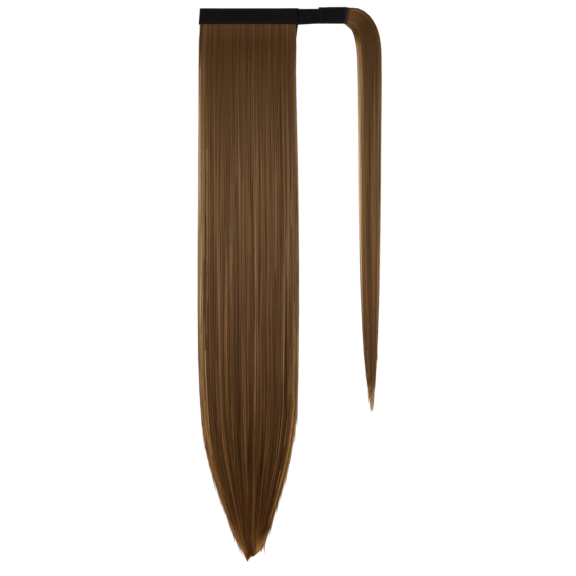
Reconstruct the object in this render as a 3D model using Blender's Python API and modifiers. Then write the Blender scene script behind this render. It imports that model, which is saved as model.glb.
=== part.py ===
"""Wrap-around ponytail hairpiece, lying on its back as it is laid out flat.

X runs along the band, Y runs from the hair's tip up to the band, and Z is up from the surface
that the piece lies on. The origin is the middle of its footprint, on that surface.
"""

import math

import bmesh
import bpy
from mathutils import Matrix, Vector

MM = 0.001

# Driving dimensions, in millimetres
TAPE_WIDTH = 25.4
TAPE_THICKNESS = 1.4
CLOTH_THICKNESS = 1.2
SEAT_GAP = 0.3
OVERALL_LENGTH = 864.0
OVERALL_WIDTH = 286.0

# The band, its lining and its strap along X and Y
BAND_TOP = 430.7
BAND_LOW = BAND_TOP - TAPE_WIDTH
BAND_LEFT_TOP = -140.1
BAND_LEFT_LOW = -142.1
BAND_RIGHT = 13.3
LINING_LEFT = -140.6
LINING_DROP = 30.0
LINING_RIGHT_LOW = 9.0
STRAP_LEFT = 8.6
STRAP_RIGHT = 84.0
STRAP_RISE = 1.4
CUFF_LEFT = 44.6
CUFF_TOP = OVERALL_LENGTH / 2
CUFF_RIGHT_TOP = 88.4
CUFF_RIGHT_LOW = 84.2
PAD_LEFT = 47.0
PAD_RIGHT = 82.0
PAD_WIDTH = 21.0

# Heights above the surface. Each layer is a seat gap above the one that it lies on
LINING_TOP = CLOTH_THICKNESS + SEAT_GAP
STRAP_TOP = LINING_TOP + CLOTH_THICKNESS + SEAT_GAP
HEAD_THICKNESS = 3.5
BAND_Z = LINING_TOP + HEAD_THICKNESS + SEAT_GAP
STRAND_HEAD_THICKNESS = 2.4
CUFF_HIGH_Z = STRAP_TOP + STRAND_HEAD_THICKNESS + SEAT_GAP

# Where the tapes bend down to what they are sewn to
TOP_BEND = 6.0
LEFT_BEND = 3.8
RIGHT_BEND = 4.3
CUFF_RAMP_START = 54.0
CUFF_RAMP_END = 63.0

# The falling hair, a row for each section. drop is the way down from the band's lower edge,
# lift is the height of its underside, and ridge is how deep the partings between locks are
FALL_COLUMNS = ("drop", "left", "right", "thick", "lift", "ridge")
FALL_SECTIONS = (
    (-19.0, -137.6, 7.6, 2.2, 1.5, 0.00),
    (-12.0, -137.8, 7.9, 3.3, 1.5, 0.00),
    (-0.6, -138.8, 8.1, 3.5, 1.5, 0.02),
    (1.4, -140.0, 9.9, 4.2, 1.5, 0.04),
    (8.0, -140.6, 10.1, 5.2, 1.5, 0.06),
    (31.0, -141.4, 9.9, 8.2, 1.5, 0.10),
    (44.0, -141.7, 9.6, 10.6, 0.0, 0.11),
    (78.0, -142.0, 8.8, 11.6, 0.0, 0.12),
    (149.0, -142.3, 10.4, 12.6, 0.0, 0.14),
    (242.0, -142.4, 12.6, 13.2, 0.0, 0.16),
    (382.0, -143.0, 14.0, 13.0, 0.0, 0.19),
    (476.0, -142.9, 13.7, 12.4, 0.0, 0.22),
    (546.0, -141.6, 13.3, 11.6, 0.0, 0.24),
    (600.0, -138.6, 12.4, 10.6, 0.0, 0.26),
    (639.0, -135.4, 7.7, 9.8, 0.0, 0.27),
    (686.0, -125.3, -1.0, 8.6, 0.0, 0.28),
    (733.0, -109.8, -14.9, 7.2, 0.0, 0.28),
    (779.0, -92.8, -29.6, 5.6, 0.0, 0.28),
    (803.0, -83.6, -39.4, 4.6, 0.0, 0.26),
    (818.5, -75.0, -45.6, 3.8, 0.0, 0.24),
    (825.0, -72.6, -51.0, 3.2, 0.0, 0.22),
)
FALL_STATION = 22.0
FALL_LOCKS = 13
FALL_EDGE = 0.42
LOCK_UNEVEN = 0.26
LOCK_DRIFT = 0.20

# Lock ends that stand out of the taper: where each leaves the mass, where it ends, and its size
# at its start. blunt is how late it tapers
END_COLUMNS = ("from_drop", "from_x", "to_drop", "to_x", "wide", "thick", "blunt")
FALL_ENDS = (
    (760.0, -66.5, 837.1, -66.3, 14.0, 4.2, 8.0),
    (760.0, -56.0, 830.0, -52.8, 10.0, 4.0, 4.0),
    (742.0, -77.0, 820.5, -77.2, 9.0, 3.6, 2.0),
    (730.0, -45.0, 812.0, -39.9, 9.0, 3.6, 2.0),
    (706.0, -96.0, 788.0, -91.0, 9.0, 4.0, 2.0),
    (690.0, -33.0, 776.0, -25.4, 9.0, 4.0, 2.0),
    (664.0, -112.0, 744.0, -107.4, 9.0, 4.4, 2.0),
    (648.0, -19.0, 735.0, -13.0, 9.0, 4.4, 2.0),
    (622.0, -123.0, 699.0, -122.8, 8.0, 4.4, 2.0),
    (606.0, -4.0, 690.0, -0.6, 8.0, 4.4, 2.0),
)

# Locks that lie on top of the mass: start, middle and end
TOP_COLUMNS = ("drop", "x", "middle_drop", "middle_x", "end_drop", "end_x", "wide", "proud")
TOP_LOCKS = (
    (120.0, -1.0, 400.0, -3.5, 655.0, -14.0, 8.5, 1.4),
    (250.0, -38.0, 430.0, -46.0, 640.0, -50.0, 7.5, 1.1),
    (210.0, -128.0, 420.0, -127.0, 650.0, -118.0, 7.0, 1.0),
)

# The wrap strand, a row for each section. x and y are its middle, turn is how far its flow has
# turned down from level, in degrees
STRAND_COLUMNS = ("x", "y", "turn", "wide", "thick", "lift", "ridge")
STRAND_SECTIONS = (
    (68.0, 418.9, 2.0, 22.6, 2.0, 3.0, 0.00),
    (86.0, 418.8, 6.0, 23.0, 2.4, 3.0, 0.00),
    (90.4, 418.3, 9.0, 23.6, 2.6, 2.8, 0.02),
    (94.0, 417.2, 12.5, 29.0, 3.4, 2.0, 0.05),
    (98.6, 415.4, 19.5, 33.0, 4.2, 1.2, 0.07),
    (106.4, 411.0, 33.0, 35.6, 5.0, 0.5, 0.09),
    (112.9, 403.0, 46.0, 38.0, 5.6, 0.0, 0.11),
    (118.0, 392.6, 60.0, 39.0, 6.0, 0.0, 0.12),
    (121.3, 380.2, 71.5, 39.0, 6.3, 0.0, 0.13),
    (123.0, 366.6, 80.0, 38.5, 6.6, 0.0, 0.14),
    (123.9, 349.0, 87.5, 37.8, 6.9, 0.0, 0.15),
    (124.4, 303.0, 90.0, 37.0, 7.0, 0.0, 0.16),
    (124.4, 210.0, 90.0, 35.4, 7.0, 0.0, 0.18),
    (124.5, 116.0, 90.0, 33.8, 6.8, 0.0, 0.20),
    (124.7, 54.0, 90.4, 31.8, 6.4, 0.0, 0.22),
    (125.3, -8.0, 90.4, 28.8, 6.0, 0.0, 0.24),
    (125.7, -70.0, 90.4, 24.4, 5.4, 0.0, 0.26),
    (126.0, -117.0, 90.6, 19.6, 4.6, 0.0, 0.26),
    (126.9, -154.0, 91.0, 13.6, 3.6, 0.0, 0.24),
    (127.6, -176.0, 90.6, 8.6, 2.8, 0.0, 0.20),
    (127.8, -192.0, 90.0, 3.4, 1.8, 0.0, 0.10),
    (127.8, -199.8, 90.0, 1.0, 1.0, 0.0, 0.00),
)
STRAND_STEPS = 2
STRAND_LOCKS = 5
STRAND_ENDS = (
    (520.0, 133.0, 580.0, 131.0, 4.4, 3.0, 2.0),
    (540.0, 122.6, 594.0, 124.8, 4.4, 2.8, 2.0),
)

# The binding round the strand's root
BINDING_MIDDLE = (88.65, 418.6)
BINDING_LENGTH = 3.2
BINDING_TURN = 9.7
BINDING_WALL = 1.0
BINDING_INSIDE = (24.6, 3.6)
BINDING_MIDDLE_Z = 4.25

POINTS_PER_LOCK = 4
EDGE_ROUND = 0.35
END_POINTS = 9

MATERIALS = {
    "black_tape": ((0.0085, 0.0078, 0.0088, 1.0), 0.92),
    "black_cloth": ((0.0065, 0.0060, 0.0066, 1.0), 0.95),
    "grey_binding": ((0.035, 0.032, 0.030, 1.0), 0.80),
    "brown_hair": ((0.105, 0.054, 0.023, 1.0), 0.50),
}


def clear_scene():
    for obj in list(bpy.data.objects):
        bpy.data.objects.remove(obj)


def new_collection(name):
    collection = bpy.data.collections.new(name)
    bpy.context.scene.collection.children.link(collection)
    return collection


def new_material(name):
    colour, roughness = MATERIALS[name]
    material = bpy.data.materials.new(name)
    material.use_nodes = True
    shader = material.node_tree.nodes["Principled BSDF"]
    shader.inputs["Base Color"].default_value = colour
    shader.inputs["Roughness"].default_value = roughness
    shader.inputs["Metallic"].default_value = 0.0
    material.diffuse_color = colour
    return material


def smoothstep(value):
    value = min(max(value, 0.0), 1.0)
    return value * value * (3.0 - 2.0 * value)


def named_rows(columns, rows):
    return [dict(zip(columns, row)) for row in rows]


def add_object(name, mesh, collection, material):
    obj = bpy.data.objects.new(name, mesh)
    collection.objects.link(obj)
    if material:
        mesh.materials.append(material)
    return obj


def shade_round(mesh):
    mesh.shade_smooth()
    mesh.set_sharp_from_angle(angle=math.radians(40))


def sheet(name, columns, rows, place, thickness, collection, material):
    """A cloth or tape: a grid of columns by rows, put in place by a function, then given its wall."""
    bm = bmesh.new()
    last_column = len(columns) - 1
    last_row = len(rows) - 1
    bmesh.ops.create_grid(bm, x_segments=last_column, y_segments=last_row, size=1.0)
    for vertex in bm.verts:
        column = round((vertex.co.x + 1.0) / 2.0 * last_column)
        row = round((vertex.co.y + 1.0) / 2.0 * last_row)
        vertex.co = Vector(place(columns[column], rows[row])) * MM
    mesh = bpy.data.meshes.new(name)
    bm.to_mesh(mesh)
    bm.free()
    obj = add_object(name, mesh, collection, material)
    wall = obj.modifiers.new("wall", "SOLIDIFY")
    wall.thickness = thickness * MM
    wall.offset = 1.0
    wall.use_even_offset = True
    edge = obj.modifiers.new("rounded_edge", "BEVEL")
    edge.width = EDGE_ROUND * MM
    edge.segments = 2
    edge.limit_method = "ANGLE"
    edge.angle_limit = math.radians(50)
    return obj


def spread(start, end, count):
    return [start + (end - start) * step / count for step in range(count + 1)]


def band(collection, material):
    """The outer tape, flat over the hair's head and bent down at its top edge and both ends."""
    full_length = BAND_RIGHT - BAND_LEFT_TOP
    columns = spread(0.0, LEFT_BEND, 5) + [40.0, 80.0, 120.0]
    columns += spread(full_length - RIGHT_BEND, full_length, 4)
    rows = spread(0.0, TAPE_WIDTH - TOP_BEND, 2) + spread(TAPE_WIDTH - TOP_BEND, TAPE_WIDTH, 6)[1:]

    def place(along, up):
        left = BAND_LEFT_LOW + (BAND_LEFT_TOP - BAND_LEFT_LOW) * up / TAPE_WIDTH
        x = left + along * (BAND_RIGHT - left) / full_length
        at_left = smoothstep(along / LEFT_BEND)
        at_right = smoothstep((full_length - along) / RIGHT_BEND)
        at_top = smoothstep((TAPE_WIDTH - up) / TOP_BEND)
        over_strap = smoothstep((along - full_length * 0.8) / (full_length * 0.16))
        seat = LINING_TOP + (STRAP_TOP - LINING_TOP) * over_strap
        return x, BAND_LOW + up, seat + (BAND_Z - seat) * at_left * at_right * at_top

    return sheet("band", columns, rows, place, TAPE_THICKNESS, collection, material)


def lining(collection, material):
    """The cloth behind the band and the first of the hair. Its free corners are cut in."""
    low = BAND_LOW - LINING_DROP
    rows = [low, BAND_LOW, BAND_TOP]
    columns = spread(0.0, 1.0, 6)

    def place(share, y):
        cut = min(max((BAND_LOW - y) / LINING_DROP, 0.0), 1.0)
        right = BAND_RIGHT - 0.4 + (LINING_RIGHT_LOW - BAND_RIGHT + 0.4) * cut
        return LINING_LEFT + (right - LINING_LEFT) * share, y, 0.0

    return sheet("lining", columns, rows, place, CLOTH_THICKNESS, collection, material)


def strap(collection, material):
    """The tape that goes round the wearer's own ponytail. It rises a little towards its end."""
    columns = spread(STRAP_LEFT, STRAP_RIGHT, 6)
    rows = [BAND_LOW - 0.2, BAND_LOW + TAPE_WIDTH / 2, BAND_TOP - 0.9]

    def place(x, y):
        rise = STRAP_RISE * smoothstep((x - BAND_RIGHT) / (CUFF_LEFT - BAND_RIGHT))
        return x, y + rise * (BAND_TOP - y) / TAPE_WIDTH, LINING_TOP

    return sheet("strap", columns, rows, place, CLOTH_THICKNESS, collection, material)


def strap_cuff(collection, material):
    """The doubled tape at the strap's end, raised over the wrap strand's head."""
    columns = [0.0, 0.12, 0.22, 0.26, 0.30, 0.35, 0.39, 0.43, 0.60, 0.80, 1.0]
    rows = [CUFF_TOP - TAPE_WIDTH, CUFF_TOP - TAPE_WIDTH / 2, CUFF_TOP]

    def place(share, y):
        up = (y - CUFF_TOP + TAPE_WIDTH) / TAPE_WIDTH
        right = CUFF_RIGHT_LOW + (CUFF_RIGHT_TOP - CUFF_RIGHT_LOW) * up
        x = CUFF_LEFT + (right - CUFF_LEFT) * share
        ramp = smoothstep((x - CUFF_RAMP_START) / (CUFF_RAMP_END - CUFF_RAMP_START))
        return x, y, STRAP_TOP + (CUFF_HIGH_Z - STRAP_TOP) * ramp

    return sheet("strap_cuff", columns, rows, place, CLOTH_THICKNESS, collection, material)


def hook_pad(collection, material):
    """The hook tape on the strap's back, which presses on to the band's loop face."""
    middle = CUFF_TOP - TAPE_WIDTH / 2
    columns = [PAD_LEFT, (PAD_LEFT + PAD_RIGHT) / 2, PAD_RIGHT]
    rows = [middle - PAD_WIDTH / 2, middle, middle + PAD_WIDTH / 2]

    def place(x, y):
        return x, y, 0.0

    return sheet("hook_pad", columns, rows, place, CLOTH_THICKNESS, collection, material)


def block(name, size, collection):
    """A box with its middle at the origin, in millimetres."""
    bpy.ops.mesh.primitive_cube_add(size=1.0, location=(0.0, 0.0, 0.0))
    obj = bpy.context.object
    obj.name = name
    obj.data.transform(Matrix.Diagonal((size[0] * MM, size[1] * MM, size[2] * MM, 1.0)))
    for other in list(obj.users_collection):
        other.objects.unlink(obj)
    collection.objects.link(obj)
    return obj


def hide_helper(obj):
    obj.hide_render = True
    obj.display_type = "WIRE"


def strand_binding(collection, cutters, material):
    """A stitched sleeve round the wrap strand's root, a little askew."""
    wide, high = BINDING_INSIDE
    outside = (BINDING_LENGTH, wide + 2 * BINDING_WALL, high + 2 * BINDING_WALL)
    sleeve = block("strand_binding", outside, collection)
    sleeve.data.materials.append(material)
    inside = block("binding_bore", (BINDING_LENGTH * 3, wide, high), cutters)
    place = Matrix.Translation(Vector((*BINDING_MIDDLE, BINDING_MIDDLE_Z)) * MM)
    turned = place @ Matrix.Rotation(-math.radians(BINDING_TURN), 4, "Z")
    for obj in (sleeve, inside):
        obj.matrix_world = turned
    hide_helper(inside)
    cut = sleeve.modifiers.new("bore", "BOOLEAN")
    cut.operation = "DIFFERENCE"
    cut.solver = "EXACT"
    cut.object = inside
    edge = sleeve.modifiers.new("rounded_edge", "BEVEL")
    edge.width = EDGE_ROUND * MM
    edge.segments = 2
    edge.limit_method = "ANGLE"
    edge.angle_limit = math.radians(50)
    return sleeve


def smooth_row(rows, key, at):
    """The named columns at one place along the key column, on smooth curves through the rows."""
    index = 0
    while index < len(rows) - 2 and rows[index + 1][key] < at:
        index += 1
    first, second = rows[index], rows[index + 1]
    before = rows[max(index - 1, 0)]
    after = rows[min(index + 2, len(rows) - 1)]
    span = second[key] - first[key]
    share = (at - first[key]) / span
    found = {}
    for name in first:
        slope = slope_at(before, first, second, key, name) * span
        next_slope = slope_at(first, second, after, key, name) * span
        found[name] = hermite(first[name], second[name], slope, next_slope, share)
    found[key] = at
    return found


def slope_at(before, here, after, key, name):
    """A column's slope at a row. It is flat where the column turns, so nothing overshoots."""
    slopes = []
    for low, high in ((before, here), (here, after)):
        if high[key] > low[key]:
            slopes.append((high[name] - low[name]) / (high[key] - low[key]))
    if len(slopes) == 1:
        return slopes[0]
    if slopes[0] * slopes[1] <= 0.0:
        return 0.0
    return 2.0 * slopes[0] * slopes[1] / (slopes[0] + slopes[1])


def hermite(start, end, start_slope, end_slope, share):
    square = share * share
    cube = square * share
    return (
        start * (2 * cube - 3 * square + 1)
        + start_slope * (cube - 2 * square + share)
        + end * (3 * square - 2 * cube)
        + end_slope * (cube - square)
    )


def hair_section(row, locks, along):
    """One section across the flow as (across, height) points, from the lower left anticlockwise.

    across is a share of the width, from -0.5 on the right of the flow to 0.5 on its left.
    """
    low = row["lift"]
    points = [(-0.5, low), (0.5, low)]
    side = low + row["thick"] * FALL_EDGE * 0.5
    points.append((0.5, side))
    edges = [(lock + lock_shift(lock, locks, along)) / locks for lock in range(locks + 1)]
    for lock in reversed(range(locks)):
        for step in reversed(range(POINTS_PER_LOCK)):
            local = (step + 0.5) / POINTS_PER_LOCK
            share = edges[lock] + (edges[lock + 1] - edges[lock]) * local
            dome = 1.0 - (1.0 - FALL_EDGE) * abs(2.0 * share - 1.0) ** 3
            crown = 1.0 - row["ridge"] * (1.0 - math.sin(math.pi * local)) ** 1.5
            points.append((share - 0.5, low + row["thick"] * dome * crown))
    points.append((-0.5, side))
    return points


def lock_shift(lock, locks, along):
    """How far a parting stands from its even place, as a share of a lock. The outer two stand still."""
    if lock in (0, locks):
        return 0.0
    uneven = LOCK_UNEVEN * math.sin(lock * 2.4 + 0.7)
    return uneven + LOCK_DRIFT * math.sin(along * 3.1 + lock * 1.9)


def loft(name, rings):
    """A closed mesh through rings of points, with a flat face on each end."""
    bm = bmesh.new()
    made = [[bm.verts.new(Vector(point) * MM) for point in ring] for ring in rings]
    count = len(made[0])
    for ring, after in zip(made, made[1:]):
        for index in range(count):
            following = (index + 1) % count
            bm.faces.new((ring[index], ring[following], after[following], after[index]))
    bm.faces.new(list(reversed(made[0])))
    bm.faces.new(made[-1])
    bmesh.ops.recalc_face_normals(bm, faces=bm.faces)
    mesh = bpy.data.meshes.new(name)
    bm.to_mesh(mesh)
    bm.free()
    return mesh


def fall_rings():
    rows = named_rows(FALL_COLUMNS, FALL_SECTIONS)
    drops = []
    for first, second in zip(rows, rows[1:]):
        count = max(1, math.ceil((second["drop"] - first["drop"]) / FALL_STATION / 1.6))
        drops += spread(first["drop"], second["drop"], count)[:-1]
    drops.append(rows[-1]["drop"])
    rings = []
    for drop in drops:
        row = smooth_row(rows, "drop", drop)
        middle = (row["left"] + row["right"]) / 2
        width = row["right"] - row["left"]
        section = hair_section(row, FALL_LOCKS, drop / OVERALL_LENGTH)
        rings.append([(middle + across * width, BAND_LOW - drop, z) for across, z in section])
    return rings


def strand_rows():
    """The wrap strand's sections with smooth ones between them, keyed by their place in the table."""
    rows = named_rows(STRAND_COLUMNS, STRAND_SECTIONS)
    for index, row in enumerate(rows):
        row["place"] = float(index)
    places = spread(0.0, len(rows) - 1.0, (len(rows) - 1) * STRAND_STEPS)
    return [smooth_row(rows, "place", place) for place in places]


def strand_rings():
    rings = []
    for row in strand_rows():
        turn = math.radians(row["turn"])
        across_x, across_y = math.sin(turn), math.cos(turn)
        section = hair_section(row, STRAND_LOCKS, row["place"] / len(STRAND_SECTIONS))
        ring = []
        for across, z in section:
            reach = across * row["wide"]
            ring.append((row["x"] + across_x * reach, row["y"] + across_y * reach, z))
        rings.append(ring)
    return rings


def lock_tube(name, points, collection):
    """A lock as a flattened tube. Each point is x, y, z, half its width and half its thickness."""
    flatness = points[0][4] / points[0][3]
    curve = bpy.data.curves.new(name, "CURVE")
    curve.dimensions = "3D"
    curve.bevel_depth = MM
    curve.bevel_resolution = 1
    curve.use_fill_caps = True
    spline = curve.splines.new("POLY")
    spline.points.add(len(points) - 1)
    for target, (x, y, z, half_wide, _) in zip(spline.points, points):
        target.co = (x * MM, y * MM, z * MM / flatness, 1.0)
        target.radius = half_wide
    tube = bpy.data.objects.new(name + "_curve", curve)
    collection.objects.link(tube)
    bpy.context.view_layer.update()
    evaluated = tube.evaluated_get(bpy.context.evaluated_depsgraph_get())
    mesh = bpy.data.meshes.new_from_object(evaluated)
    bm = bmesh.new()
    bm.from_mesh(mesh)
    bmesh.ops.remove_doubles(bm, verts=bm.verts, dist=1e-6)
    bmesh.ops.scale(bm, vec=(1.0, 1.0, flatness), verts=bm.verts)
    bmesh.ops.recalc_face_normals(bm, faces=bm.faces)
    bm.to_mesh(mesh)
    bm.free()
    bpy.data.objects.remove(tube)
    lock = add_object(name, mesh, collection, None)
    hide_helper(lock)
    return lock


def end_lock(name, row, collection):
    """A lock that leaves the mass and tapers to a point on the surface."""
    points = []
    for step in range(END_POINTS):
        share = 1.0 - (1.0 - step / (END_POINTS - 1)) ** 1.5
        width = row["wide"] / 2 * (1.0 - 0.95 * share ** row["blunt"])
        half_thick = width * row["thick"] / row["wide"]
        drop = row["from_drop"] + (row["to_drop"] - row["from_drop"]) * share
        x = row["from_x"] + (row["to_x"] - row["from_x"]) * share**1.3
        points.append((x, BAND_LOW - drop, half_thick + 0.05, width, half_thick))
    return lock_tube(name, points, collection)


def top_lock(name, row, fall, collection):
    """A lock that lies on the mass, half sunk in it and pointed at both ends."""
    points = []
    for step in range(END_POINTS + 4):
        share = step / (END_POINTS + 3)
        back = 1.0 - share
        drop = back * back * row["drop"] + 2 * back * share * row["middle_drop"]
        drop += share * share * row["end_drop"]
        x = back * back * row["x"] + 2 * back * share * row["middle_x"]
        x += share * share * row["end_x"]
        half = row["wide"] / 2 * (0.16 + 0.84 * math.sin(math.pi * share) ** 0.7)
        here = smooth_row(fall, "drop", drop)
        over = abs(2.0 * (x - here["left"]) / (here["right"] - here["left"]) - 1.0)
        top = here["lift"] + here["thick"] * (1.0 - (1.0 - FALL_EDGE) * over**3)
        sink = 0.35 * row["wide"] / 2 - row["proud"] * math.sin(math.pi * share)
        points.append((x, BAND_LOW - drop, top - sink, half, half * 0.42))
    return lock_tube(name, points, collection)


def fuse(obj, locks):
    for lock in locks:
        union = obj.modifiers.new(lock.name, "BOOLEAN")
        union.operation = "UNION"
        union.solver = "EXACT"
        union.object = lock


def hair_fall(collection, helpers, material):
    """The main hair: a head under the band, locks side by side, and pointed lock ends."""
    mesh = loft("hair_fall", fall_rings())
    shade_round(mesh)
    obj = add_object("hair_fall", mesh, collection, material)
    fall = named_rows(FALL_COLUMNS, FALL_SECTIONS)
    locks = []
    for index, row in enumerate(named_rows(END_COLUMNS, FALL_ENDS)):
        locks.append(end_lock(f"fall_end_{index}", row, helpers))
    for index, row in enumerate(named_rows(TOP_COLUMNS, TOP_LOCKS)):
        locks.append(top_lock(f"top_lock_{index}", row, fall, helpers))
    fuse(obj, locks)
    return obj


def wrap_strand(collection, helpers, material):
    """The narrow length of hair that is wound round to cover the band."""
    mesh = loft("wrap_strand", strand_rings())
    shade_round(mesh)
    obj = add_object("wrap_strand", mesh, collection, material)
    locks = []
    for index, row in enumerate(named_rows(END_COLUMNS, STRAND_ENDS)):
        locks.append(end_lock(f"strand_end_{index}", row, helpers))
    fuse(obj, locks)
    return obj


def main():
    clear_scene()
    parts = new_collection("ponytail_hairpiece")
    helpers = new_collection("helpers")
    tape = new_material("black_tape")
    cloth = new_material("black_cloth")
    binding = new_material("grey_binding")
    hair = new_material("brown_hair")
    band(parts, tape)
    lining(parts, cloth)
    strap(parts, tape)
    strap_cuff(parts, tape)
    hook_pad(parts, cloth)
    strand_binding(parts, helpers, binding)
    hair_fall(parts, helpers, hair)
    wrap_strand(parts, helpers, hair)


main()
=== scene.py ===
# %% [markdown]
# # A wrap-around ponytail hairpiece
# This lesson dresses a plain CAD model of a hairpiece until it looks like the real thing: a black
# tape band, a strap, and about nine thousand strands of brown hair. The CAD model is the frame. It
# holds the true sizes and places, so every piece made here is fitted to it and stays in its box.

# %% The frame
import math

import bmesh
import bpy
import numpy as np
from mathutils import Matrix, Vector
from mathutils.bvhtree import BVHTree


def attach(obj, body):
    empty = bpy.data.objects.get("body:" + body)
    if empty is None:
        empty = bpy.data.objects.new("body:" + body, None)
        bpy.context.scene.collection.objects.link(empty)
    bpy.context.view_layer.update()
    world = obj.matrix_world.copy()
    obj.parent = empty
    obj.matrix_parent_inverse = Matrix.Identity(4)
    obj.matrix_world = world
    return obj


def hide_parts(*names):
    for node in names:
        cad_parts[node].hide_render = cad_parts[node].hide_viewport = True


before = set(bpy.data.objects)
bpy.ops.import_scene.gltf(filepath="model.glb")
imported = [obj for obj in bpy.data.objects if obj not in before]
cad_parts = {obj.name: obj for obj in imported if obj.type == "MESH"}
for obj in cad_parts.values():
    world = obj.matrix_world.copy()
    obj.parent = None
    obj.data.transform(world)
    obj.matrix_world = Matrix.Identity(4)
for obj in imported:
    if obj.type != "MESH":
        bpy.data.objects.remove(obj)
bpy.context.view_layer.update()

MM = 0.001
SEED = 34

# %% [markdown]
# ## Writing nodes as sums
# Materials and Geometry Nodes are both trees of nodes. Two small classes keep them readable.
# `Signal` stands for a node's output, so that `1 - mask * 0.5` adds the Math nodes by itself.
# `Tree` adds any other node: its type, then its settings, then what goes into its sockets.


# %% Signals and trees
class Signal:
    """A node's output. Sums written on it become Math nodes."""

    def __init__(self, tree, socket):
        self.tree = tree
        self.socket = socket

    def maths(self, operation, *terms):
        return self.tree.add("ShaderNodeMath", {"operation": operation}, dict(enumerate(terms)))

    def alone(self, operation):
        return self.maths(operation, self)

    def other(self, name):
        return Signal(self.tree, self.socket.node.outputs[name])

    def __add__(self, term):
        return self.maths("ADD", self, term)

    def __radd__(self, term):
        return self.maths("ADD", term, self)

    def __sub__(self, term):
        return self.maths("SUBTRACT", self, term)

    def __rsub__(self, term):
        return self.maths("SUBTRACT", term, self)

    def __mul__(self, term):
        return self.maths("MULTIPLY", self, term)

    def __rmul__(self, term):
        return self.maths("MULTIPLY", term, self)

    def __truediv__(self, term):
        return self.maths("DIVIDE", self, term)

    def __pow__(self, term):
        return self.maths("POWER", self, term)


class Tree:
    """A node tree, with one way to add any node."""

    def __init__(self, nodes):
        self.nodes = nodes

    def add(self, kind, settings=None, inputs=None, out=0):
        node = self.nodes.nodes.new(kind)
        for name, value in (settings or {}).items():
            if name == "stops":
                self.set_stops(node.color_ramp, value)
            else:
                setattr(node, name, value)
        for key, value in (inputs or {}).items():
            if isinstance(value, Signal):
                self.nodes.links.new(value.socket, node.inputs[key])
            else:
                node.inputs[key].default_value = value
        return Signal(self, node.outputs[out]) if node.outputs else node

    def set_stops(self, ramp, stops):
        while len(ramp.elements) < len(stops):
            ramp.elements.new(1.0)
        for element, (place, colour) in zip(ramp.elements, stops):
            element.position = place
            element.color = (*colour, 1.0)

    def vector(self, operation, *terms):
        return self.add("ShaderNodeVectorMath", {"operation": operation}, dict(enumerate(terms)))

    def scaled(self, vector, factor):
        inputs = {0: vector, "Scale": factor}
        return self.add("ShaderNodeVectorMath", {"operation": "SCALE"}, inputs)

    def joined(self, x=0.0, y=0.0, z=0.0):
        return self.add("ShaderNodeCombineXYZ", None, {0: x, 1: y, 2: z})

    def mixed(self, factor, first, second, blend="MIX"):
        settings = {"data_type": "RGBA", "blend_type": blend}
        return self.add("ShaderNodeMix", settings, {0: factor, 6: first, 7: second}, out=2)

    def range(self, value, low, high, to_low=0.0, to_high=1.0):
        inputs = {0: value, 1: low, 2: high, 3: to_low, 4: to_high}
        return self.add("ShaderNodeMapRange", {"clamp": True}, inputs)

    def noise(self, vector, scale, detail=2.0, roughness=0.5):
        inputs = {"Vector": vector, "Scale": scale, "Detail": detail, "Roughness": roughness}
        return self.add("ShaderNodeTexNoise", None, inputs)


print("node helpers ready")

# %% [markdown]
# ## Running a Geometry Nodes tree
# A tree gets named inputs for its sizes. `grow` puts it on a mesh, sets those inputs, and takes the
# result back as a plain mesh, so that no live modifier is left on the finished piece.


# %% Geometry Nodes helpers
SOCKETS = {float: "NodeSocketFloat", int: "NodeSocketInt"}


def geometry_tree(name, defaults):
    """A new tree with its named inputs. Returns it and a dict of their signals."""
    group = bpy.data.node_groups.new(name, "GeometryNodeTree")
    interface = group.interface
    interface.new_socket("Geometry", in_out="INPUT", socket_type="NodeSocketGeometry")
    for label, value in defaults.items():
        socket = interface.new_socket(label, in_out="INPUT", socket_type=SOCKETS[type(value)])
        socket.default_value = value
    interface.new_socket("Geometry", in_out="OUTPUT", socket_type="NodeSocketGeometry")
    tree = Tree(group)
    entry = group.nodes.new("NodeGroupInput")
    signals = {label: Signal(tree, entry.outputs[label]) for label in defaults}
    signals["Geometry"] = Signal(tree, entry.outputs["Geometry"])
    return tree, signals


def end_tree(tree, geometry, material):
    """Every tree ends the same way: instances made real, smooth, and in their material."""
    real = tree.add("GeometryNodeRealizeInstances", None, {0: geometry})
    smooth = tree.add("GeometryNodeSetShadeSmooth", None, {"Geometry": real})
    dressed = tree.add("GeometryNodeSetMaterial", None, {"Geometry": smooth, "Material": material})
    tree.add("NodeGroupOutput", None, {0: dressed})
    return tree.nodes


def grow(name, mesh, group, sizes):
    """Runs a tree on a mesh and returns an object that holds the result as a plain mesh."""
    obj = bpy.data.objects.new(name, mesh)
    bpy.context.scene.collection.objects.link(obj)
    modifier = obj.modifiers.new("grow", "NODES")
    modifier.node_group = group
    for item in group.interface.items_tree:
        if item.name in sizes:
            modifier[item.identifier] = sizes[item.name]
    bpy.context.view_layer.update()
    evaluated = obj.evaluated_get(bpy.context.evaluated_depsgraph_get())
    grown = bpy.data.meshes.new_from_object(evaluated)
    obj.modifiers.remove(modifier)
    obj.data = grown
    grown.name = name
    print(f"{name}: {count_triangles(grown)} triangles")
    return obj


def count_triangles(mesh):
    sides = np.empty(len(mesh.polygons), np.int32)
    mesh.polygons.foreach_get("loop_total", sides)
    return int((sides - 2).sum())


print("Geometry Nodes helpers ready")
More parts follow.
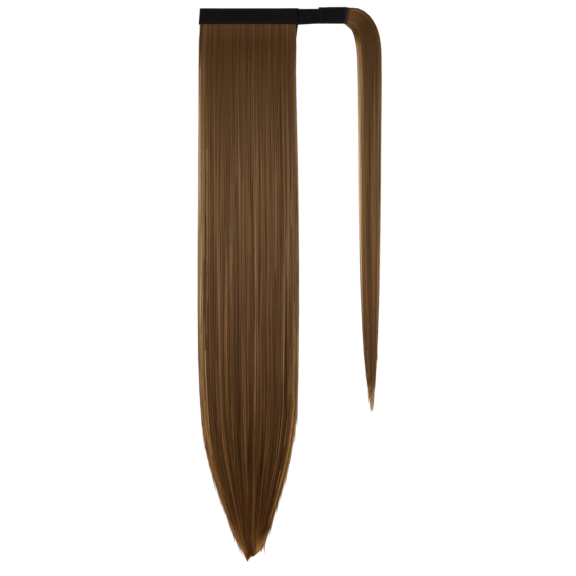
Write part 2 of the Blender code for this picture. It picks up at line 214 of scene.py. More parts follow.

# %% [markdown]
# ## Hair colour
# Real hair is never one colour, so each strand has its own tone. Over the whole piece lies a
# painted sheen, the broad highlight of the lamp over the hair: painted shade makes it darker under
# the band, a painted highlight makes it lightest near its middle, and it is deeper and warmer
# towards the tip. A strand is too thin for a texture, so its map has one use: across the map is the
# strand's tone, and along the map is the way down the hair. The material reads only that map, so
# all strands share one pattern.

# %% Hair materials
HAIR_MAP = "OFBake"
HAIR_TONES = (
    (0.0, (0.012, 0.0050, 0.0014)),
    (0.30, (0.062, 0.0268, 0.0090)),
    (0.60, (0.145, 0.072, 0.0285)),
    (0.86, (0.31, 0.188, 0.091)),
    (1.0, (0.72, 0.50, 0.27)),
)
# A painted sheen down the hair: painted shade near the band, and a broad painted highlight that peaks
# near the middle and fades towards the tip.
PAINTED_SHEEN_DOWN_THE_HAIR = (
    (0.0, (0.535, 0.515, 0.485)),
    (0.047, (0.375, 0.315, 0.21)),
    (0.112, (0.49, 0.42, 0.34)),
    (0.205, (0.695, 0.665, 0.625)),
    (0.308, (0.95, 0.935, 0.935)),
    (0.39, (0.955, 0.975, 0.96)),
    (0.485, (0.955, 0.915, 0.905)),
    (0.578, (0.87, 0.80, 0.735)),
    (0.671, (0.735, 0.655, 0.50)),
    (0.773, (0.79, 0.65, 0.43)),
    (0.875, (0.70, 0.53, 0.295)),
    (1.0, (0.64, 0.46, 0.25)),
)
HAIR_GLOSS = {"Roughness": 0.42, "Specular IOR Level": 0.12}
HAIR_SHEEN_COLOUR = (1.0, 0.70, 0.42, 1.0)
TIP_MIDDLE = 0.42  # where the tip is densest, as a share of its width


def new_material(name):
    material = bpy.data.materials.new(name)
    material.use_nodes = True
    material.node_tree.nodes.clear()
    return material, Tree(material.node_tree)


def finish_material(material, tree, inputs):
    shader = tree.add("ShaderNodeBsdfPrincipled", None, inputs)
    tree.add("ShaderNodeOutputMaterial", None, {"Surface": shader})
    return material


def hair_material(name, tone_from):
    """Hair in its tones, times a painted sheen down the hair. tone_from makes the tone from the map."""
    material, tree = new_material(name)
    place = tree.add("ShaderNodeUVMap", {"uv_map": HAIR_MAP})
    across = tree.add("ShaderNodeSeparateXYZ", None, {0: place})
    up = across.other("Y")
    tone = tone_from(tree, across, up)
    colour = tree.add("ShaderNodeValToRGB", {"stops": HAIR_TONES}, {0: tone})
    # The painted sheen: painted shade near the band and a broad painted highlight near the middle.
    down = tree.add("ShaderNodeValToRGB", {"stops": PAINTED_SHEEN_DOWN_THE_HAIR}, {0: 1 - up})
    shaded = tree.mixed(1.0, colour, down, "MULTIPLY")
    inputs = {"Base Color": shaded, "Specular Tint": HAIR_SHEEN_COLOUR, **HAIR_GLOSS}
    return finish_material(material, tree, inputs)


def packed_tone(tree, across, up):
    """The hair below the loose strands: streaks that run down its map, darker as painted shade."""
    fine = tree.noise(tree.joined(across * 260, up * 9), 1.0, 3.0, 0.6)
    broad = tree.noise(tree.joined(across * 48, up * 4, 7.0), 1.0, 2.0)
    # At the tip the hair is pale on both sides of its middle, with fine darker hairs in it.
    from_middle = (across - TIP_MIDDLE).alone("ABSOLUTE")
    pale = tree.range(from_middle, 0.08, 0.30) * tree.range(up, 0.066, 0.036)
    tone = tree.range(fine * 0.6 + broad * 0.4, 0.32, 0.72, 0.02, 0.5)
    return tone + pale * (fine * 0.9 + 0.10)


strand_look = hair_material("hair_strands", lambda tree, across, up: across)
packed_look = hair_material("packed_hair", packed_tone)
print("hair materials:", strand_look.name, packed_look.name)

# %% [markdown]
# ## Measuring the CAD hair
# The loose strands have to lie on the CAD hair, so its shape is measured here. Rays from the left
# and right find its edges at every step down, and rays from above find the height of its top. The
# edges are smoothed, because the CAD has a few lock ends that stick out of them.


# %% Measure the falling hair
def ray_finder(node):
    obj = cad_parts[node]
    mesh = obj.data
    places = [obj.matrix_world @ vertex.co for vertex in mesh.vertices]
    return BVHTree.FromPolygons(places, [tuple(face.vertices) for face in mesh.polygons])


def smoothed(values, reach):
    """A running mean, which repeats the end values past both ends."""
    kernel = np.hanning(2 * reach + 3)[1:-1]
    padded = np.pad(values, reach, mode="edge")
    return np.convolve(padded, kernel / kernel.sum(), mode="valid")


def mm(*sizes):
    """Sizes in millimetres, as an array in metres."""
    return np.array(sizes) * MM


def ramp(value, start, end):
    """From 0 at start to 1 at end, and level before and after them."""
    return np.clip((value - start) / (end - start), 0.0, 1.0)


HAIR_TOP = 405.3 * MM  # the band's lower edge
FALL_START = -9.0 * MM  # the hair starts this far above that edge, under the band
FALL_END = 837.0 * MM  # the tip's distance below that edge
TIP_X = -66.3 * MM
FALL_STEPS = 212
LEFT_OF_HAIR = -1.0
RIGHT_OF_HAIR = 0.05  # between the falling hair and the wrap strand
RAY_HEIGHTS = mm(0.4, 1.2, 2.0, 3.0, 4.2)
fall_rays = ray_finder("hair_fall")
fall_drops = np.linspace(FALL_START, FALL_END, FALL_STEPS)
near_tip = ramp(fall_drops, 770 * MM, 800 * MM)


def edge_of(rays, y, start_x, direction):
    """The outermost hair that level rays meet on their way in from one side."""
    found = []
    for height in RAY_HEIGHTS:
        hit = rays.ray_cast(Vector((start_x, y, height)), Vector((direction, 0, 0)))[0]
        if hit:
            found.append(hit.x)
    return (min if direction > 0 else max)(found) if found else TIP_X


def fall_edge(start_x, direction):
    """One edge of the hair at every drop, smoothed above the tip."""
    edge = np.array([edge_of(fall_rays, HAIR_TOP - s, start_x, direction) for s in fall_drops])
    return smoothed(edge, 4) * (1 - near_tip) + edge * near_tip


WISP_DROPS = mm(802, 814, 826, 834)  # the last wisp sticks out at the right of the tip
WISP_WIDTHS = mm(0.0, 4.0, 4.6, 0.0)
fall_left = fall_edge(LEFT_OF_HAIR, 1.0)
fall_right = fall_edge(RIGHT_OF_HAIR, -1.0)
fall_right = fall_right + np.interp(fall_drops, WISP_DROPS, WISP_WIDTHS)
print("hair width in mm at five places:", [round(v / MM) for v in (fall_right - fall_left)[::52]])

# %% [markdown]
# ## The height of the hair
# The CAD's top is measured once, on a grid of drops and shares of the width. From then on a place
# in the hair is two numbers, a share and a drop, and `fall_point` turns them into x, y and height.

# %% Measure its height
HEIGHT_COLUMNS = 120
HIGH_ABOVE = 0.1  # above everything, in metres
BARE_HEIGHT = 0.6 * MM  # where a ray from above meets no hair
height_shares = (np.arange(HEIGHT_COLUMNS) + 0.5) / HEIGHT_COLUMNS


def top_heights():
    heights = np.zeros((FALL_STEPS, HEIGHT_COLUMNS))
    for row, drop in enumerate(fall_drops):
        for column, share in enumerate(height_shares):
            x = fall_left[row] + (fall_right[row] - fall_left[row]) * share
            start = Vector((x, HAIR_TOP - drop, HIGH_ABOVE))
            hit = fall_rays.ray_cast(start, Vector((0, 0, -1)))[0]
            heights[row, column] = hit.z if hit else BARE_HEIGHT
    return heights


fall_heights = top_heights()


def fall_underside(drop):
    """The hair lies on the lining for its first centimetres, and on the table below that."""
    return np.interp(drop, mm(34, 48), mm(1.5, 0.15))


LEAST_RISE = 1.75  # the top is at least this many times as high as the underside


def fall_point(share, drop):
    """x, y and top height at a share of the width and a drop, both arrays of one size."""
    left = np.interp(drop, fall_drops, fall_left)
    right = np.interp(drop, fall_drops, fall_right)
    row = np.interp(drop, fall_drops, np.arange(FALL_STEPS))
    column = np.clip(share * HEIGHT_COLUMNS - 0.5, 0, HEIGHT_COLUMNS - 1)
    row_low = np.minimum(row.astype(int), FALL_STEPS - 2)
    column_low = np.minimum(column.astype(int), HEIGHT_COLUMNS - 2)
    row_part, column_part = row - row_low, column - column_low

    def within(rows):
        near, far = fall_heights[rows, column_low], fall_heights[rows, column_low + 1]
        return near * (1 - column_part) + far * column_part

    height = within(row_low) * (1 - row_part) + within(row_low + 1) * row_part
    height = np.maximum(height, fall_underside(drop) * LEAST_RISE)
    return left + (right - left) * share, HAIR_TOP - drop, height


print("highest hair in mm:", round(fall_heights.max() / MM, 1))

# %% [markdown]
# ## From guides to strands
# A hair artist combs a few guide hairs and lets the computer fill in the rest, and the same idea
# works here. NumPy combs a guide for each lock: a line of points that carries the lock's width, its
# depth, its tone and its way down. The tree then copies each guide many times, moves every copy to
# its own place in the lock, shortens it a little, lets it wander, and sweeps a thin triangle along.
# A strand keeps its guide's points, so a guide has them close together where it bends.


# %% The strand tree
def strand_tree(material):
    sizes = {
        "Strands in a lock": 20,
        "Radius": 0.28 * MM,
        "Wander": 0.6 * MM,
        "Shortest": 0.9,
        "Tone spread": 0.13,
        "Mottle": 0.35,
        "Seed": SEED,
    }
    tree, given = geometry_tree("strands_from_guides", sizes)

    def random(low, high, seed, strand=None):
        inputs = {2: low, 3: high, "Seed": given["Seed"] + seed}
        if strand:
            inputs["ID"] = strand
        return tree.add("FunctionNodeRandomValue", {"data_type": "FLOAT"}, inputs, out=1)

    def carried(name, kind="FLOAT"):
        return tree.add("GeometryNodeInputNamedAttribute", {"data_type": kind}, {"Name": name})

    def stored(geometry, name, value, domain="POINT", kind="FLOAT"):
        settings = {"data_type": kind, "domain": domain}
        inputs = {"Geometry": geometry, "Name": name, "Value": value}
        return tree.add("GeometryNodeStoreNamedAttribute", settings, inputs)

    guides = tree.add("GeometryNodeMeshToCurve", None, {0: given["Geometry"]})
    copied = {"Geometry": guides, "Amount": given["Strands in a lock"]}
    copies = tree.add("GeometryNodeDuplicateElements", {"domain": "SPLINE"}, copied)
    cut = {"Curve": copies, 3: random(given["Shortest"], 1.0, 1)}
    trimmed = tree.add("GeometryNodeTrimCurve", {"mode": "FACTOR"}, cut)

    strand = tree.add("GeometryNodeCurveOfPoint", None, None)
    way = tree.add("GeometryNodeSplineParameter", None, None)
    aside = random(-1.0, 1.0, 2, strand)
    under = random(0.0, 1.0, 3, strand)
    crown = (1 - aside * aside) ** 0.5
    depth = carried("deep") * (1 - crown + under * 0.9)
    place = tree.add("GeometryNodeInputPosition", None, None)
    # Each strand reads the noise at a place of its own, so no two wander alike.
    own_shift = tree.joined(strand * 3.7, 0.0, strand * 1.3)
    own_place = tree.vector("ADD", tree.scaled(place, 9.0), own_shift)
    sway = (tree.noise(own_place, 1.0, 1.0) - 0.5) * 2 * given["Wander"] * way
    side = carried("side", "FLOAT_VECTOR")
    moved = tree.scaled(side, aside * carried("half") + sway)
    lowered = tree.vector("SUBTRACT", moved, tree.joined(0.0, 0.0, depth))
    combed = tree.add("GeometryNodeSetPosition", None, {"Geometry": trimmed, "Offset": lowered})

    mottled = (tree.noise(own_place, 2.3, 1.0) - 0.5) * given["Mottle"]
    toned = carried("tone") + random(-1.0, 1.0, 4, strand) * given["Tone spread"] + mottled
    kept = stored(combed, "own_tone", tree.range(toned, 0.0, 1.0))
    pointed = tree.range(way, 0.86, 1.0, 1.0, 0.35)
    size = given["Radius"] * pointed * random(0.7, 1.25, 5, strand)
    ring = tree.add("GeometryNodeCurvePrimitiveCircle", None, {"Resolution": 3, "Radius": 1.0})
    turn = tree.add("GeometryNodeInputIndex", None, None)
    ring = stored(ring, "turn", turn / 3)
    swept = {"Curve": kept, "Profile Curve": ring, "Scale": size, "Fill Caps": True}
    tubes = tree.add("GeometryNodeCurveToMesh", None, swept)
    across = carried("own_tone") * 0.94 + carried("turn") * 0.03 + 0.015
    mapped = tree.joined(across, 0.99 - carried("along") * 0.98)
    tubes = stored(tubes, HAIR_MAP, mapped, "CORNER", "FLOAT2")
    return end_tree(tree, tubes, material)


strands = strand_tree(strand_look)
print("strand tree nodes:", len(strands.nodes))

# %% [markdown]
# ## Combing guides for the falling hair
# At the band the hair is spread evenly. Further down it gathers into locks with dark partings in
# between, as brushed hair does, so each lock's width shrinks on the way down. The hair is combed in
# three layers, with fewer strands below, in darker tones that are painted shade for hair lying
# under the rest, and a few locks end early. First come helpers for any layer: lines as a mesh,
# uneven widths for the locks, and a slow wander.


# %% Guide helpers
def guide_mesh(name, lines, carried):
    """A mesh of separate lines: lines is locks x points x 3, and carried holds arrays by name."""
    locks, points = lines.shape[:2]
    first = (np.arange(locks)[:, None] * points + np.arange(points - 1)).ravel()
    mesh = bpy.data.meshes.new(name)
    mesh.from_pydata(lines.reshape(-1, 3), np.stack([first, first + 1], 1), [])
    for label, values in carried.items():
        vector = values.ndim == 3
        kind, field = ("FLOAT_VECTOR", "vector") if vector else ("FLOAT", "value")
        attribute = mesh.attributes.new(label, kind, "POINT")
        attribute.data.foreach_set(field, np.ascontiguousarray(values, np.float32).ravel())
    return mesh


def lock_places(rng, count, unevenness):
    """Middles and widths of locks that share the width 0 to 1, none of them alike."""
    widths = 1.0 + unevenness * rng.uniform(-1.0, 1.0, count)
    edges = np.concatenate([[0.0], np.cumsum(widths)]) / widths.sum()
    return (edges[1:] + edges[:-1]) / 2, np.diff(edges)


def slow_waves(rng, count, way, waves=3):
    """A smooth wander for each lock, within about -1 to 1."""
    total = np.zeros((count, way.shape[1]))
    for wave in range(1, waves + 1):
        phase = rng.uniform(0, 2 * math.pi, (count, 1))
        total += np.sin(way * math.pi * wave * 1.3 + phase) / wave
    return total / 1.8


print("guide helpers ready")

# %% [markdown]
# ## Dark and light lines
# The photo shows long dark partings and a few light locks, so these stand in two tables. A row is
# one line down the hair: its strength, its width as a share of the hair's width, and its points,
# each a drop in mm and a share of the width. Fine lines at random places fill in between them. A
# parting is sunk into the hair, and its shade is also painted into the tone of the strands along it.

# %% Partings and light locks
PARTINGS = (
    (2.20, 0.006, ((-70, 0.018), (0, 0.022), (60, 0.026), (110, 0.030))),
    (0.80, 0.008, ((120, 0.077), (367, 0.075), (600, 0.070), (720, 0.09))),
    (0.80, 0.008, ((120, 0.150), (460, 0.150), (600, 0.155), (760, 0.20))),
    (0.90, 0.009, ((200, 0.300), (320, 0.285), (390, 0.255), (600, 0.235), (770, 0.28))),
    (1.20, 0.010, ((230, 0.385), (460, 0.385), (600, 0.392), (780, 0.40))),
    (1.50, 0.011, ((180, 0.515), (320, 0.535), (414, 0.540), (647, 0.517), (826, 0.46))),
    (0.60, 0.009, ((180, 0.715), (367, 0.715), (640, 0.66), (780, 0.64))),
    (1.80, 0.013, ((120, 0.84), (320, 0.825), (414, 0.795), (553, 0.738), (647, 0.765), (800, 0.70))),
    (1.35, 0.012, ((440, 0.935), (507, 0.920), (600, 0.912), (760, 0.89))),
)
RANDOM_LINES = 120
FADE_IN = 70 * MM  # a line starts and ends softly over these lengths
FADE_OUT = 50 * MM
LIGHT_LOCKS = (
    (0.45, 0.020, ((160, 0.410), (367, 0.440), (460, 0.432), (600, 0.43), (720, 0.45))),
    (0.40, 0.022, ((240, 0.325), (414, 0.320), (553, 0.302), (690, 0.33))),
    (1.05, 0.028, ((270, 0.900), (367, 0.898), (460, 0.850), (553, 0.828), (647, 0.855), (760, 0.84))),
    (0.45, 0.024, ((160, 0.630), (320, 0.640), (367, 0.680), (460, 0.645), (553, 0.59), (690, 0.63))),
    (0.40, 0.016, ((300, 0.490), (600, 0.487), (700, 0.48))),
    (0.25, 0.020, ((380, 0.225), (560, 0.205), (700, 0.20))),
)


def random_lines(seed, share_of_strength):
    """Fine lines at random places and of random length, in the same form as the tables."""
    rng = np.random.default_rng(seed)
    lines = []
    for _ in range(RANDOM_LINES):
        start = 740 * rng.uniform(0, 1) ** 0.7
        end = min(start + rng.uniform(90, 300), 822)
        share = rng.uniform(0.03, 0.97)
        places = ((start, share), (end, share + rng.normal(0, 0.015)))
        strength = rng.uniform(0.3, 0.9) * (0.5 + start / 800) * share_of_strength
        lines.append((strength, rng.uniform(0.004, 0.008), places))
    return tuple(lines)


def marked(lines, share, drop):
    """From 0 up, how much of the lines there is at each share and drop. Lines fade in and out."""
    total = np.zeros_like(share)
    for strength, reach, places in lines:
        drops, shares = np.array(places, float).T
        drops = drops * MM
        fade = ramp(drop, drops[0], drops[0] + FADE_IN)
        fade = fade * (1 - ramp(drop, drops[-1] - FADE_OUT, drops[-1]))
        away = (share - np.interp(drop, drops, shares)) / (reach * (0.8 + 0.9 * drop / FALL_END))
        total += strength * fade * np.exp(-(away**2))
    return total


print(len(PARTINGS), "partings,", len(LIGHT_LOCKS), "light locks,", 2 * RANDOM_LINES, "fine lines")

# %% [markdown]
# ## Tones of the falling hair
# A guide's tone is a sum. It has its layer's tone, a random one of its own that drifts on the way
# down, and the tone of the big lock it lies in, with painted shade at the big lock's borders, where
# the gaps between locks are shaded. All layers have the same big locks, so this painted shade runs
# through the whole depth of the hair. Painted rim light along both sides and the lines above
# come on top.


# %% Tones
BIG_LOCKS = 21


def from_big_locks(middle):
    """The middle and the tone that each fine lock takes from its big lock, with painted shade at its
    border.
    """
    rng = np.random.default_rng(SEED)
    big_middle, big_width = lock_places(rng, BIG_LOCKS, 0.8)
    big_tone = rng.normal(0.0, 0.085, BIG_LOCKS)
    # Painted shade at each big lock's border, where the gap between big locks lies in shade.
    painted_border_shade = rng.uniform(0.05, 0.5, BIG_LOCKS)
    own = np.abs(middle[:, None] - big_middle).argmin(1)
    at_border = np.clip(2 * np.abs(middle - big_middle[own]) / big_width[own], 0, 1)
    tone = 0.06 + big_tone[own] - painted_border_shade[own] * at_border**3
    return big_middle[own][:, None], tone[:, None]


def painted_rim_light(share, drop):
    """Painted rim light: thin hair along both sides glows against the white table, less lower down."""
    left = 0.40 * (1 - ramp(share, 0, 0.055)) + 0.08 * (1 - ramp(share, 0, 0.12))
    right = 0.26 * ramp(share, 0.965, 1.0)
    return (left + right) * ramp(drop, 0, 60 * MM) * np.interp(drop, mm(420, 600), [1.0, 0.4])


def fall_tones(rng, tone, big_tone, share, drop, parted):
    """Tones from layer, own, big lock and lines, with painted rim light and painted parting shade."""
    locks = len(share)
    down = np.clip(drop / FALL_END, 0.0, 1.0)
    own = rng.normal(0.0, 0.10, locks)[:, None] + 0.13 * slow_waves(rng, locks, down * 2, 8)
    # Lower down, brushed hair shows dark lines between even locks and few light lines.
    lean = ramp(down, 0.12, 0.37)
    strong = 0.58 + 0.44 * down + 0.72 * ramp(down, 0.45, 0.85)
    own = np.where(own > 0, 1 - 0.6 * lean, 1 + 0.1 * lean) * own * strong + 0.03 * lean
    own = own + 0.12 * ramp(down, 0.92, 0.98)
    # At the tip only the middle is dense and dark, and the hairs on both sides of it are pale.
    pale = np.interp(share, [0.08, 0.30, 0.54, 0.78], [1.0, 0.0, 0.0, 0.85])
    own = own + 0.44 * pale * ramp(drop, 782 * MM, 810 * MM)
    shared = big_tone * np.clip(down * 1.7 - 0.35, 0.0, 1.0)
    lit = marked(LIGHT_LOCKS + random_lines(SEED + 2, 0.3), share, drop)
    # Painted shade along the partings, on top of their real depth, stronger lower down.
    painted_parting_shade = 0.22 + 0.08 * down + 0.30 * ramp(down, 0.68, 0.80)
    return tone + 0.02 + painted_rim_light(share, drop) + own + shared + 0.15 * lit - painted_parting_shade * parted


print("big locks:", BIG_LOCKS)

# %% [markdown]
# ## The guides of each layer
# The way down has more points where the hair leaves the band and where it ends. A guide starts at
# its own share of the width, leans towards the middle of its big lock, and then sinks below the
# CAD's top: a little for the top layer, more for the lower ones, and more along a parting.

# %% Comb the falling hair
FALL_WAY = np.array((0, 2, 5, 10, 19, 28, 37, 46, 55, 64, 73, 81, 88, 94.5, 100)) / 100
HALF_LOCK = 0.58  # a little over half its width, so that locks overlap
FULL_HEIGHT = 8 * MM
TO_THE_RIGHT = np.array([1.0, 0.0, 0.0])


def fall_ends(rng, locks, latest):
    """How far down each lock goes. About one in eight ends early."""
    ends = latest - rng.exponential(11 * MM, locks)
    early = rng.uniform(0, 1, locks) < 0.12
    ends = ends - early * rng.uniform(20 * MM, 150 * MM, locks)
    return np.clip(ends, 560 * MM, FALL_END)[:, None]


def comb_fall(name, seed, locks, sink, tone, gather, latest):
    """Guides for one layer. sink is how far below the top it lies, gather how much locks close."""
    rng = np.random.default_rng(seed)
    middle, width = lock_places(rng, locks, 0.75)
    big_middle, big_tone = from_big_locks(middle)
    middle, width = middle[:, None], width[:, None]
    drop = FALL_START + (fall_ends(rng, locks, latest) - FALL_START) * FALL_WAY
    down = np.clip(drop / FALL_END, 0.0, 1.0)
    closed = ramp(down, 0.05, 0.55) ** 1.2
    share = middle + (big_middle - middle) * 0.42 * ramp(down, 0.15, 0.75)
    share = share + slow_waves(rng, locks, down, 5) * 0.014 * np.clip(down * 3, 0, 1)
    share = np.clip(share, width * 0.3, 1 - width * 0.3)
    x, y, top = fall_point(share, drop)
    below = fall_underside(drop)
    thin = np.clip(top / FULL_HEIGHT, 0.15, 1.0)
    lowered = sink * thin * np.clip(0.35 + down * 3, 0.35, 1.0)
    parted = marked(PARTINGS + random_lines(SEED + 1, 0.9), share, drop)
    z = np.maximum(top - lowered, below + 0.45 * MM)
    z = np.maximum(z - parted * 1.1 * MM * thin, below + 0.4 * MM)
    full = np.interp(drop, fall_drops, fall_right - fall_left)
    carried = {
        "half": width * full * HALF_LOCK * (1 - gather * closed),
        "deep": (0.35 + 0.85 * closed) * MM * thin,
        "tone": fall_tones(rng, tone, big_tone, share, drop, parted),
        "along": down,
        "side": np.broadcast_to(TO_THE_RIGHT, (*drop.shape, 3)),
    }
    return guide_mesh(name, np.stack([x, y, z], 2), carried)


# Each layer: seed, locks, strands in a lock, sink, tone, how far its locks close, its latest end
# and the shortest strand as a share of its guide.
# The lower layers' darker tones are painted shade for hair that lies under the top layer.
LAYERS = (
    ("fall_low_strands", 11, 60, 28, 2.6 * MM, 0.22, 0.10, 826 * MM, 0.94),
    ("fall_middle_strands", 12, 84, 26, 1.3 * MM, 0.40, 0.30, 838 * MM, 0.95),
    ("fall_top_strands", 13, 110, 20, 0.2 * MM, 0.54, 0.50, 845 * MM, 0.96),
)
fall_pieces = []
for name, seed, locks, strand_count, sink, tone, gather, latest, shortest in LAYERS:
    guides = comb_fall(name + "_guides", seed, locks, sink, tone, gather, latest)
    sizes = {"Strands in a lock": strand_count, "Shortest": shortest, "Seed": SEED + seed}
    fall_pieces.append(grow(name, guides, strands, sizes))

# %% [markdown]
# ## Loose ends
# No hairpiece has a clean outline. Hairs of different length end along the taper, and where one
# ends it leaves the flow and sticks out a little. These guides follow the outline, then go on
# straight for their last centimetres, while the outline turns in below them.


# %% Comb the loose ends
LOOSE_POINTS = 10
STEP_BACK = 6 * MM  # the flow's slope is measured over this much of the drop


def comb_loose(name, seed, count):
    """Guides that follow the edges of the hair, then leave it for their last centimetres."""
    rng = np.random.default_rng(seed)
    on_left = rng.uniform(0, 1, count) < 0.55
    inside = rng.exponential(0.022, count) + 0.008
    share = np.where(on_left, inside, 1 - inside)[:, None]
    tapered = rng.uniform(0, 1, count) < 0.74
    low_end, high_end = rng.uniform(610, 836, count), rng.uniform(150, 640, count)
    end = np.where(tapered, low_end, high_end)[:, None] * MM
    free = np.minimum(rng.uniform(18, 46, count), 30 + (834 - end[:, 0] / MM) * 0.2)[:, None] * MM
    length = np.minimum(rng.uniform(90, 200, count)[:, None] * MM, end - 6 * MM)
    drop = end - length * (1 - np.linspace(0.0, 1.0, LOOSE_POINTS))
    held = np.minimum(drop, end - free)
    x, y, top = fall_point(share, held)
    before = fall_point(share, held - STEP_BACK)[0]
    slope = np.clip((x - before) / STEP_BACK, -0.5, 0.5)
    out = np.where(on_left, -1.0, 1.0)[:, None]
    past = (drop - held) / free
    tapered = tapered[:, None]
    stray = rng.uniform(0.0, 1.0, count)[:, None] * (0.9 + 0.9 * tapered) * MM
    x = x + slope * (drop - held) * 0.75 + out * past**2 * stray
    z = np.maximum(top * (1 - 0.5 * past) - 0.6 * MM, 0.5 * MM)
    carried = {
        "half": (0.8 - 0.4 * past) * MM,
        "deep": np.full(drop.shape, 0.3 * MM),
        "tone": 0.78 + rng.normal(0, 0.10, count)[:, None] + 0.22 * past,
        # The free ends take the painted sheen from higher up the hair, so they are lighter.
        "along": np.clip(drop / FALL_END - 0.4 * past * tapered, 0, 1),
        "side": np.broadcast_to(TO_THE_RIGHT, (*drop.shape, 3)),
    }
    return guide_mesh(name, np.stack([x, HAIR_TOP - drop, z], 2), carried)


loose_sizes = {"Strands in a lock": 5, "Shortest": 0.9, "Radius": 0.14 * MM, "Wander": 0.9 * MM}
loose_ends = grow("fall_loose_ends", comb_loose("loose_guides", 14, 300), strands, loose_sizes)
fall_pieces.append(loose_ends)

# %% [markdown]
# ## The hair below the strands
# Strands alone would let light through, so a solid mass of packed hair lies below them. Its darker
# tones are painted shade for hair that lies under the strands. Its top is grooved along the flow, and
# its map runs across and down the hair, so its streaks follow the locks as they close towards the
# tip. It also gives the piece its underside.


# %% Packed hair
def finished_piece(name, mesh, material):
    tidy = bmesh.new()
    tidy.from_mesh(mesh)
    bmesh.ops.recalc_face_normals(tidy, faces=tidy.faces)
    tidy.to_mesh(mesh)
    tidy.free()
    mesh.shade_smooth()
    mesh.materials.append(material)
    obj = bpy.data.objects.new(name, mesh)
    bpy.context.scene.collection.objects.link(obj)
    print(f"{name}: {count_triangles(mesh)} triangles")
    return obj


def mapped_piece(name, points, faces, maps, material):
    """A piece with a map. maps holds every point's place on it."""
    mesh = bpy.data.meshes.new(name)
    mesh.from_pydata(points, [], faces)
    layer = mesh.uv_layers.new(name=HAIR_MAP)
    corners = np.empty(len(mesh.loops), np.int32)
    mesh.loops.foreach_get("vertex_index", corners)
    layer.data.foreach_set("uv", np.array(maps)[corners].astype(np.float32).ravel())
    return finished_piece(name, mesh, material)


def packed_body(name, over, under, map_width):
    """A closed mass of hair. over and under each hold places, shares across and ways down."""
    rings, shares, downs = (np.concatenate(pair, 1) for pair in zip(over, under))
    steps, count = shares.shape
    index = np.arange(steps * count).reshape(steps, count)
    after = np.roll(index, -1, axis=1)
    quads = np.stack([index[:-1], after[:-1], after[1:], index[1:]], 2).reshape(-1, 4)
    faces = [*quads.tolist(), index[0][::-1].tolist(), index[-1].tolist()]
    maps = np.stack([0.01 + map_width * shares, 0.99 - 0.98 * np.clip(downs, 0, 1)], 2)
    return mapped_piece(name, rings.reshape(-1, 3), faces, maps.reshape(-1, 2), packed_look)


def grooves(shares, down, locks, seed):
    """From 0 to 1, how deep the grooves between fine locks are."""
    rng = np.random.default_rng(seed)
    phase = rng.uniform(0, 2 * math.pi, 3)
    wave = shares * locks * 2 * math.pi + 0.8 * np.sin(down * 7 + shares * 23 + phase[0])
    fine = 0.5 + 0.5 * np.sin(wave + phase[1])
    coarse = 0.5 + 0.5 * np.sin(shares * locks * 1.7 + down * 3 + phase[2])
    return 0.6 * fine + 0.4 * coarse


BODY_COLUMNS = 150
BODY_STEPS = 130
BODY_END = 829  # in mm below the band's edge, a little before the tip
UNDERSIDE = 16


def fall_body():
    drops = np.linspace(FALL_START + 1 * MM, BODY_END * MM, BODY_STEPS)[:, None]
    inset = 0.006 + np.interp(drops, mm(640, 800, 820, BODY_END), [0.0, 0.02, 0.05, 0.30])
    middle = np.interp(drops, mm(790, BODY_END), [0.5, 0.46])

    def row(start, end, count):
        """Shares, ways down, x, y and top height, from one side of the hair to the other."""
        share = middle + np.linspace(start, end, count)[None, :] * (0.5 - inset)
        drop = np.broadcast_to(drops, share.shape)
        return share, drop / FALL_END, *fall_point(share, drop)

    share, down, x, y, top = row(-1, 1, BODY_COLUMNS)
    sink = (1.1 + 1.3 * np.clip(down * 3, 0, 1) * grooves(share, down, 60, 5)) * MM
    lift = fall_underside(drops)
    z = np.maximum(top - sink * np.clip(top / FULL_HEIGHT, 0.2, 1.0), lift + 0.3 * MM)
    low_share, low_down, low_x, low_y, _ = row(0.99, -0.99, UNDERSIDE)
    low_z = np.broadcast_to(lift, low_x.shape)
    over = (np.stack([x, y, z], 2), share, down)
    under = (np.stack([low_x, low_y, low_z], 2), low_share, low_down)
    return packed_body("fall_body", over, under, 0.98)


fall_mass = fall_body()

# %% [markdown]
# ## The wrap strand
# The narrow strand leaves the strap sideways and bends down. Its middle line is a short table: a
# place, how far the flow has turned down, and the width, thickness and lift there. A smooth curve
# through the rows gives every place in between, and the same locks and strands follow it.

# %% The wrap strand's line
# x, y, turn below level in degrees, width, thickness, lift
WRAP_LINE = np.array(
    (
        (86.0, 418.8, 6.0, 23.0, 2.4, 3.0),
        (90.2, 417.2, 9.0, 26.2, 2.6, 2.8),
        (93.8, 416.7, 12.5, 30.6, 3.4, 2.0),
        (98.6, 415.4, 19.5, 33.0, 4.2, 1.2),
        (106.4, 411.0, 33.0, 35.6, 5.0, 0.5),
        (112.9, 403.0, 46.0, 38.0, 5.6, 0.0),
        (118.0, 392.6, 60.0, 39.0, 6.0, 0.0),
        (121.3, 380.2, 71.5, 39.0, 6.3, 0.0),
        (123.0, 366.6, 80.0, 38.5, 6.6, 0.0),
        (123.9, 349.0, 87.5, 37.8, 6.9, 0.0),
        (124.4, 303.0, 90.0, 37.0, 7.0, 0.0),
        (124.4, 210.0, 90.0, 35.4, 7.0, 0.0),
        (124.5, 116.0, 90.0, 33.8, 6.8, 0.0),
        (124.7, 54.0, 90.4, 31.8, 6.4, 0.0),
        (125.3, -8.0, 90.4, 28.8, 6.0, 0.0),
        (125.7, -70.0, 90.4, 24.4, 5.4, 0.0),
        (126.0, -117.0, 90.6, 19.6, 4.6, 0.0),
        (126.9, -154.0, 91.0, 13.6, 3.6, 0.0),
        (127.6, -176.0, 90.6, 8.6, 2.8, 0.0),
        (127.8, -192.0, 90.0, 3.4, 1.8, 0.0),
        (127.8, -199.8, 90.0, 1.0, 1.0, 0.0),
    )
)


